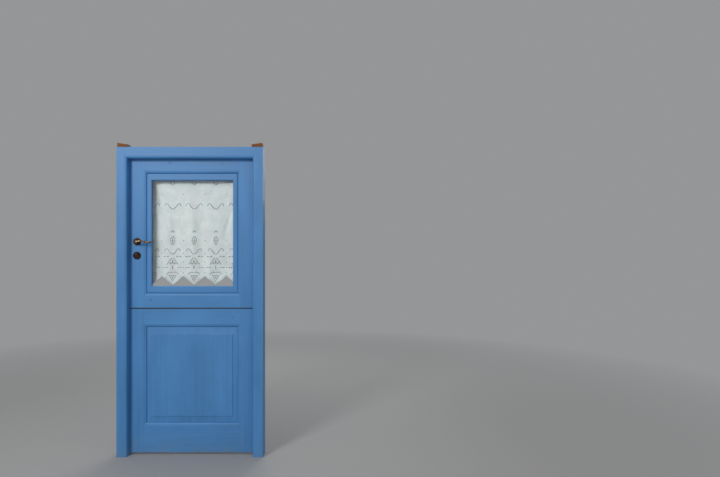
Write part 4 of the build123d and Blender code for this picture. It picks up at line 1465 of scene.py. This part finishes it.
# Holes beside each column of the pattern, from the top down, measured from the column.
SPRAYS: tuple[Chain | Leaves, ...] = (
    Chain(((0.002, 1.644), (0.014, 1.651), (0.028, 1.668), (0.036, 1.679)), 4, 0.0105, 0.0058),
    Chain(((0.037, 1.681), (0.046, 1.683), (0.053, 1.674), (0.054, 1.662)), 3, 0.0088, 0.005),
    Leaves(((0.0085, 1.49),), 0.011, 0.0052, lean=0.8),
    Chain(((0.0015, 1.46), (0.0125, 1.443), (0.0135, 1.425), (0.0015, 1.401)), 5, 0.0112, 0.0058),
    Chain(((0.003, 1.337), (0.014, 1.346), (0.024, 1.364), (0.036, 1.376)), 4, 0.0108, 0.006),
    Chain(((0.037, 1.377), (0.047, 1.374), (0.052, 1.357)), 2, 0.0098, 0.0056),
    Leaves(((0.052, 1.322), (0.0305, 1.3235)), 0.0145, 0.0056),
    Chain(((0.004, 1.314), (0.016, 1.299), (0.036, 1.268)), 4, 0.0108, 0.0064),
    Leaves(((0.0135, 1.276),), 0.019, 0.0078, turn=QUARTER, lean=-0.7),
    Leaves(((0.037, 1.2475), (0.0535, 1.2475)), 0.0125, 0.0054, lean=-0.5),
    Chain(((0.003, 1.2125), (0.017, 1.217), (0.031, 1.211), (0.039, 1.2)), 4, 0.0094, 0.0054),
)
# Height, length and width of each upright leaf on the column itself.
STEMS: tuple[Spot, ...] = (
    (1.4955, 0.017, 0.0056), (1.43, 0.031, 0.0066), (1.286, 0.026, 0.0096), (1.2495, 0.027, 0.0056))


@cache
def stitched_cords() -> Tree:
    """Geometry tree that sweeps lines into cords.

    Returns:
        The tree, with the cords' radius and count of sides as its inputs.
    """
    wire = Growth("stitched cords", {"Cord Radius": NUMBER, "Sides": COUNT})
    ring = wire.place("GeometryNodeCurvePrimitiveCircle", {
        "Resolution": wire.takes["Sides"], "Radius": wire.takes["Cord Radius"]})
    swept = wire.place("GeometryNodeCurveToMesh", {
        "Curve": wire.takes["Geometry"], "Profile Curve": ring.outputs[0], "Fill Caps": True})
    return wire.close(swept.outputs[0])


@dataclass
class LaceCurtain:
    """Gathered cotton curtain on its rod, cut through and stitched, with a zigzag hem.

    A wreath is given by its height and its half sizes, and a leaf by its length and width. Each
    fan under a column has rows of leaves that narrow to a point. The casing wraps the rod by an
    angle in degrees, and its last share on both sides is drawn in to the stitch line.
    """

    half_width: float = 292 * MM
    rod_y: float = 40.5 * MM
    rod_z: float = 1847 * MM
    rod_radius: float = 5 * MM
    hem: float = 1130 * MM
    hem_rise: float = 58 * MM
    hem_pitch: float = 146 * MM
    hem_steps: int = 16
    scallop: float = 2.2 * MM
    stitch_line: float = 1838 * MM
    cell: float = 7 * MM
    cloth: float = 0.5 * MM
    cord: float = 0.8 * MM
    cord_sides: int = 6
    fold: float = 4.2 * MM
    top_fold: float = 0.35
    fold_growth: float = 0.45
    second_fold: float = 0.093
    second_share: float = 0.42
    ripple: float = 1.3 * MM
    gather: float = 0.0165
    gather_fade: float = 0.045
    behind_rod: float = 1.5 * MM
    sway: float = 1.6 * MM
    crease_depth: float = 6.5 * MM
    crease_reach: float = 0.015
    creases: tuple[tuple[Point, Point], ...] = (
        ((-0.255, 1.775), (-0.165, 1.49)), ((0.262, 1.66), (0.19, 1.43)))
    wreath: Spot = (1.824, 0.0125, 0.0155)
    wreath_leaves: int = 10
    wreath_leaf: Point = (0.0082, 0.0046)
    fan_rows: tuple[int, ...] = (4, 3, 2, 1)
    fan_top: float = 1.1935
    fan_pitch: Point = (0.0132, 0.0122)
    fan_leaf: Point = (0.0098, 0.0074)
    eyelet_radius: float = 0.0027
    eyelet_heights: tuple[float, ...] = (1.745, 1.43, 1.345, 1.285, 1.247, 1.212)
    hem_eyelet_radius: float = 0.0019
    hem_eyelets: int = 6
    hem_eyelet_rise: float = 11.5 * MM
    margin: float = 5 * MM
    casing_columns: int = 220
    casing_turns: int = 22
    casing_wrap: float = 324.0
    casing_swell: float = 1.35 * MM
    casing_ripple: float = 0.55 * MM
    casing_pull: float = 0.14
    casing_map: float = 0.034
    casing_cloth: float = 0.036
    wide: float = field(init=False)
    tall: float = field(init=False)

    def __post_init__(self) -> None:
        """Works out the flat cloth's width and height."""
        self.wide, self.tall = 2 * self.half_width, self.stitch_line - self.hem

    def build(self) -> None:
        """Makes the cloth and its stitching and works out its flat size."""
        spots, faces = self.flat()
        full = self.flat_width()
        area = sum(self.area(*(spots[index] for index in face)) for face in faces)
        area = area * full / self.wide + full * self.casing_cloth
        cloth = new_piece("cutwork_lace", self.hung(spots, faces), SHADED_GROUND.material())
        seat(cloth, "upper_leaf", "lace", "lace_curtain")
        cords = eased(self.stitching(), math.radians(80))
        stitched = new_piece("lace_stitching", cords, SHADED_STITCH.material())
        seat(stitched, "upper_leaf", "lace", "lace_curtain")

    def drape(self, across: float, height: float) -> Vector:
        """Hangs one point of the flat cloth.

        Args:
            across: Its place across the cloth.
            height: Its height.

        Returns:
            Its place in the door's frame.
        """
        below = max(0.0, self.stitch_line - height)
        drop = min(1.0, below / self.fold_growth)
        broad = math.sin(across * math.tau / self.hem_pitch + 0.9 * math.sin(height * 3.1) + 0.5)
        second = math.sin(across * math.tau / self.second_fold + height * 2.3 + 1.7)
        waves = broad + self.second_share * second
        fine = self.gathers(across) * math.exp(-below / self.gather_fade)
        share = self.top_fold + (1 - self.top_fold) * drop
        depth = self.fold * share * waves + self.ripple * fine
        depth += sum(self.crease(across, height, *ends) for ends in self.creases)
        aside = self.sway * drop * math.sin(height * 9 + across * 4)
        return Vector((across + aside, self.rod_y - self.behind_rod + depth, height))

    def gathers(self, across: float) -> float:
        """Uneven small folds that the rod's casing draws into the cloth, from -1 to 1."""
        return math.sin(across * math.tau / self.gather + 1.1 * math.sin(across * 31))

    def crease(self, across: float, height: float, start: Point, end: Point) -> float:
        """Depth that a slanting soft crease adds to a point.

        Args:
            across: The point's place across the cloth.
            height: Its height.
            start: Upper end of the crease.
            end: Lower end of the crease.

        Returns:
            The added depth, in metres.
        """
        line = Vector(end) - Vector(start)
        spot = Vector((across, height)) - Vector(start)
        along, aside = spot.dot(line) / line.length_squared, spot.cross(line) / line.length
        window = math.exp(-((along - 0.5) / 0.42) ** 4)
        return self.crease_depth * window * math.exp(-(aside / self.crease_reach) ** 2)

    def hem_line(self, share: float) -> float:
        """Height of the hem's slope at a share of one of its points."""
        return self.hem + self.hem_rise * (1 - abs(2 * share - 1))

    def outline(self) -> Loop:
        """Edge of the flat cloth, with the hem's points.

        Returns:
            The edge, from the hem's left end against the clock.
        """
        edge = []
        for tooth in range(round(self.wide / self.hem_pitch)):
            for step in range(self.hem_steps):
                share = step / self.hem_steps
                scallop = self.scallop * abs(math.sin(share * math.pi * 8))
                across = -self.half_width + (tooth + share) * self.hem_pitch
                edge.append((across, self.hem_line(share) + scallop))
        rows, columns = int(self.tall / self.cell), int(self.wide / (self.cell * 0.5))
        edge += [(self.half_width, self.hem + self.tall * step / rows) for step in range(rows)]
        edge += [(self.half_width - self.wide * step / columns, self.stitch_line)
                 for step in range(columns)]
        edge += [(-self.half_width, self.stitch_line - self.tall * step / rows)
                 for step in range(rows)]
        return edge

    def motif(self, column: float) -> list[Loop]:
        """Holes of one column of the pattern.

        Args:
            column: Place of the column across the cloth.

        Returns:
            The outline of each hole.
        """
        holes = []
        middle, half_wide, half_tall = self.wreath
        for turn in range(self.wreath_leaves):
            angle = turn / self.wreath_leaves * math.tau + math.pi / self.wreath_leaves
            spot = (column + half_wide * math.cos(angle), middle + half_tall * math.sin(angle))
            holes.append(pointed_oval(spot, *self.wreath_leaf, angle + QUARTER, 10))
        for side in (-1, 1):
            for spray in SPRAYS:
                holes += spray.holes(column, side)
        holes += [pointed_oval((column, z), *size, QUARTER) for z, *size in STEMS]
        pitch, drop = self.fan_pitch
        for row, count in enumerate(self.fan_rows):
            for place in range(count):
                spot = (column + (place - (count - 1) / 2) * pitch, self.fan_top - row * drop)
                holes.append(pointed_oval(spot, *self.fan_leaf, QUARTER, 8))
        return holes

    def holes(self) -> list[Loop]:
        """Every hole of the cloth, kept clear of its edges.

        Returns:
            The outline of each hole, against the clock.
        """
        limit = self.half_width - self.margin
        found = []
        for column in range(-2, 3):
            found += [
                hole for hole in self.motif(column * self.hem_pitch)
                if all(abs(x) < limit and self.above_hem(x, z) for x, z in hole)
            ]
        for column in range(-2, 2):
            middle = (column + 0.5) * self.hem_pitch
            found += [eyelet((middle, height), self.eyelet_radius)
                      for height in self.eyelet_heights]
            for side in (-1, 1):
                for step in range(1, self.hem_eyelets + 1):
                    share = step / (self.hem_eyelets + 1)
                    across = middle + side * self.hem_pitch / 2 * (1 - share)
                    height = self.hem + self.hem_rise * share + self.hem_eyelet_rise
                    found.append(eyelet((across, height), self.hem_eyelet_radius))
        return [hole if turns_left(hole) else hole[::-1] for hole in found]

    def above_hem(self, across: float, height: float) -> bool:
        """Whether a point lies well inside the hem."""
        share = ((across + self.half_width) / self.hem_pitch) % 1.0
        return height > self.hem_line(share) + self.margin

    def flat(self) -> tuple[Loop, list[Face]]:
        """Triangles of the cut cloth before it hangs.

        Returns:
            The points and the faces.
        """
        edge = self.outline()
        points, loops = [Vector(spot) for spot in edge], [list(range(len(edge)))]
        for hole in self.holes():
            loops.append(list(range(len(points), len(points) + len(hole))))
            points += [Vector(spot) for spot in hole]
        taken = {self.square(*point) for point in points[len(edge):]}
        columns, rows = int(self.wide / self.cell), int(self.tall / self.cell)
        for row in range(1, rows):
            height = self.hem + self.tall * row / rows
            for column in range(1, columns):
                shift = 0.5 * (row % 2)
                across = -self.half_width + self.wide * (column + shift) / columns
                inside = abs(across) < self.half_width - 2 * MM and self.above_hem(across, height)
                if inside and self.square(across, height) not in taken:
                    points.append(Vector((across, height)))
        verts, _, faces, _, _, origins = geometry.delaunay_2d_cdt(points, [], loops, 1, 1e-6)
        kept = [tuple(face) for face, origin in zip(faces, origins) if list(origin) == [0]]
        used = sorted({index for face in kept for index in face})
        place = {old: new for new, old in enumerate(used)}
        spots = [tuple(verts[index]) for index in used]
        return spots, [tuple(place[index] for index in face) for face in kept]

    def square(self, across: float, height: float) -> tuple[int, int]:
        """Square of the cloth's grid that a point lies in."""
        return round(across / self.cell), round(height / self.cell)

    def flat_width(self, steps: int = 2000, below_rod: float = 0.2) -> float:
        """Measures the cloth's width when it is pulled straight.

        Args:
            steps: Steps of the measured line.
            below_rod: How far under the rod it runs, in metres.

        Returns:
            The width, in metres.
        """
        spots = [
            self.drape(-self.half_width + self.wide * step / steps, self.rod_z - below_rod)
            for step in range(steps + 1)
        ]
        return sum((after - before).length for before, after in zip(spots, spots[1:]))

    @staticmethod
    def area(first: Point, second: Point, third: Point) -> float:
        """Area of one flat triangle."""
        (ax, ay), (bx, by), (cx, cy) = first, second, third
        return abs((bx - ax) * (cy - ay) - (cx - ax) * (by - ay)) / 2

    def casing(self) -> tuple[list[Vector], list[Face], Loop]:
        """Sleeve of cloth round the rod.

        Returns:
            The points, the faces and the map of the threads.
        """
        columns, turns = self.casing_columns, self.casing_turns
        points, chart, faces = [], [], []
        for column in range(columns + 1):
            across = -self.half_width + self.wide * column / columns
            base = self.drape(across, self.stitch_line)
            swell = self.casing_swell + self.casing_ripple * self.gathers(across)
            radius = self.rod_radius + swell
            for turn in range(turns + 1):
                angle = math.radians(self.casing_wrap * turn / turns - self.casing_wrap / 2)
                out, up = radius * math.sin(angle), radius * math.cos(angle)
                ring = Vector((across, self.rod_y + out, self.rod_z + up))
                edge = abs(2 * turn / turns - 1)
                pull = max(0.0, 1 - (1 - edge) / self.casing_pull)
                points.append(ring.lerp(base, pull * pull))
                chart.append((across, self.stitch_line + self.casing_map * turn / turns))
        for column in range(columns):
            for turn in range(turns):
                first = column * (turns + 1) + turn
                faces.append((first, first + 1, first + turns + 2, first + turns + 1))
        return points, faces, chart

    def hung(self, spots: Loop, faces: Sequence[Face]) -> Mesh:
        """Hangs the flat cloth, with its casing and the map of its threads.

        Args:
            spots: Points of the flat cloth.
            faces: Its triangles.

        Returns:
            The cloth with its thickness.
        """
        points = [self.drape(*spot) for spot in spots]
        sleeve, sleeve_faces, sleeve_chart = self.casing()
        moved = [tuple(index + len(points) for index in face) for face in sleeve_faces]
        mesh = bpy.data.meshes.new("cloth")
        mesh.from_pydata(points + sleeve, [], [*faces, *moved])
        chart = mesh.uv_layers.new(name=THREAD)
        fullness, threads = self.flat_width() / self.wide, [*spots, *sleeve_chart]
        for loop in mesh.loops:
            across, height = threads[loop.vertex_index]
            chart.data[loop.index].uv = (across * fullness, height)
        return eased(modified(mesh, "SOLIDIFY", thickness=self.cloth, offset=0.0),
                     math.radians(60))

    def stitching(self) -> Mesh:
        """Raised cords round each hole and along the edge, grown from their lines.

        Returns:
            The cords as one mesh.
        """
        lines = bpy.data.curves.new("cords", "CURVE")
        lines.dimensions = "3D"
        for loop in (*self.holes(), self.outline()):
            spline = lines.splines.new("POLY")
            spline.points.add(len(loop) - 1)
            for point, spot in zip(spline.points, loop):
                point.co = (*self.drape(*spot), 1.0)
            spline.use_cyclic_u = True
        return grown(lines, stitched_cords(), {
            "Cord Radius": self.cord, "Sides": self.cord_sides, "Finish": SHADED_STITCH.material()})


@dataclass(frozen=True)
class Lamp:
    """One square soft lamp, with its power in watts."""

    name: str
    place: Spot
    aim: Spot
    size: float
    power: float

    def build(self) -> None:
        """Sets up the lamp, which doesn't show through the glass."""
        light = bpy.data.lights.new(self.name, "AREA")
        light.energy, light.size = self.power, self.size
        lamp = bpy.data.objects.new(f"studio_{self.name}", light)
        lamp.location = self.place
        way = Vector(self.aim) - Vector(self.place)
        lamp.rotation_euler = way.to_track_quat("-Z", "Y").to_euler()
        lamp.visible_transmission = False
        bpy.context.scene.collection.objects.link(lamp)


@dataclass
class Studio:
    """Plain floor, soft lamps and the camera."""

    floor_radius: float = 9.0
    floor_dark: Colour = (0.35, 0.35, 0.35)
    floor_pale: Colour = (0.4, 0.4, 0.4)
    fade: tuple[float, float] = (2.4, 5.5)
    backdrop: Colour = (0.3, 0.306, 0.31)
    ambient: Colour = (0.36, 0.363, 0.366)
    lens: float = 30.0
    eye: Spot = (1.125, -4.0365, 1.445)
    lamps: tuple[Lamp, ...] = (
        Lamp("key", (-1.9, -4.7, 3.5), (0.0, 0.0, 0.8), size=1.3, power=150.0),
        Lamp("fill", (3.4, -3.6, 1.4), (0.0, 0.0, 0.6), size=2.6, power=20.0),
        Lamp("back", (0.6, 3.4, 3.0), (0.0, 0.0, 1.1), size=2.4, power=45.0),
    )

    def build(self) -> None:
        """Makes the stage."""
        self.floor()
        self.sky()
        for lamp in self.lamps:
            lamp.build()
        self.camera()

    def floor(self) -> None:
        """Lays a pale floor that fades into the backdrop."""
        work = bmesh.new()
        bmesh.ops.create_circle(work, cap_ends=True, radius=self.floor_radius, segments=96)
        mesh = bpy.data.meshes.new("studio_floor")
        work.to_mesh(mesh)
        work.free()
        dress = Dressing("studio floor")
        wire = dress.wire
        x, y = (wire.math("POWER", part, 2.0) for part in wire.parts(dress.place)[:2])
        far = wire.between(wire.math("SQRT", wire.plus(x, y)), *self.fade)
        speckle = wire.cloud(dress.place, 90.0, detail=3.0)
        colour = wire.blend(speckle, self.floor_dark, self.floor_pale)
        dress.set(Base_Color=colour, Roughness=0.75)
        glow = wire.place("ShaderNodeEmission", {"Color": self.backdrop, "Strength": 1.0})
        feeds = {0: far, 1: dress.shader.outputs[0], 2: glow.outputs[0]}
        faded = wire.place("ShaderNodeMixShader", feeds).outputs[0]
        wire.feed(dress.output.inputs["Surface"], faded)
        new_piece("studio_floor", mesh, dress.material)

    def sky(self) -> None:
        """Sets even light all round, with the plain backdrop behind."""
        world = bpy.data.worlds.new("studio")
        world.use_nodes = True
        bpy.context.scene.world = world
        world.node_tree.nodes.clear()
        wire = Wiring(world.node_tree)
        rays = wire.place("ShaderNodeLightPath").outputs
        thrown = wire.plus(rays["Is Glossy Ray"], rays["Is Transmission Ray"])
        seen = wire.plus(rays["Is Camera Ray"], thrown, clamp=True)
        colour = wire.blend(seen, self.ambient, self.backdrop)
        light = wire.place("ShaderNodeBackground", {"Color": colour, "Strength": 1.0})
        wire.place("ShaderNodeOutputWorld", {"Surface": light.outputs[0]})

    def camera(self) -> None:
        """Sets the camera level, before the door and to its right."""
        lens = bpy.data.cameras.new("studio_camera")
        lens.lens, lens.sensor_width = self.lens, 36.0
        camera = bpy.data.objects.new("studio_camera", lens)
        camera.location = self.eye
        camera.rotation_euler = (QUARTER, 0, 0)
        bpy.context.scene.collection.objects.link(camera)
        bpy.context.scene.camera = camera
        bpy.context.scene.view_settings.view_transform = "Standard"


def main() -> None:
    """Builds every sub-assembly in order, then the stage."""
    logging.basicConfig(level=logging.INFO, format="%(message)s")
    for part in (TimberFrame(), LowerLeaf(), UpperLeaf(), Furniture(), LaceCurtain()):
        part.build()
        log.info("%s is built", type(part).__name__)
    Studio().build()


if __name__ == "__main__":
    main()
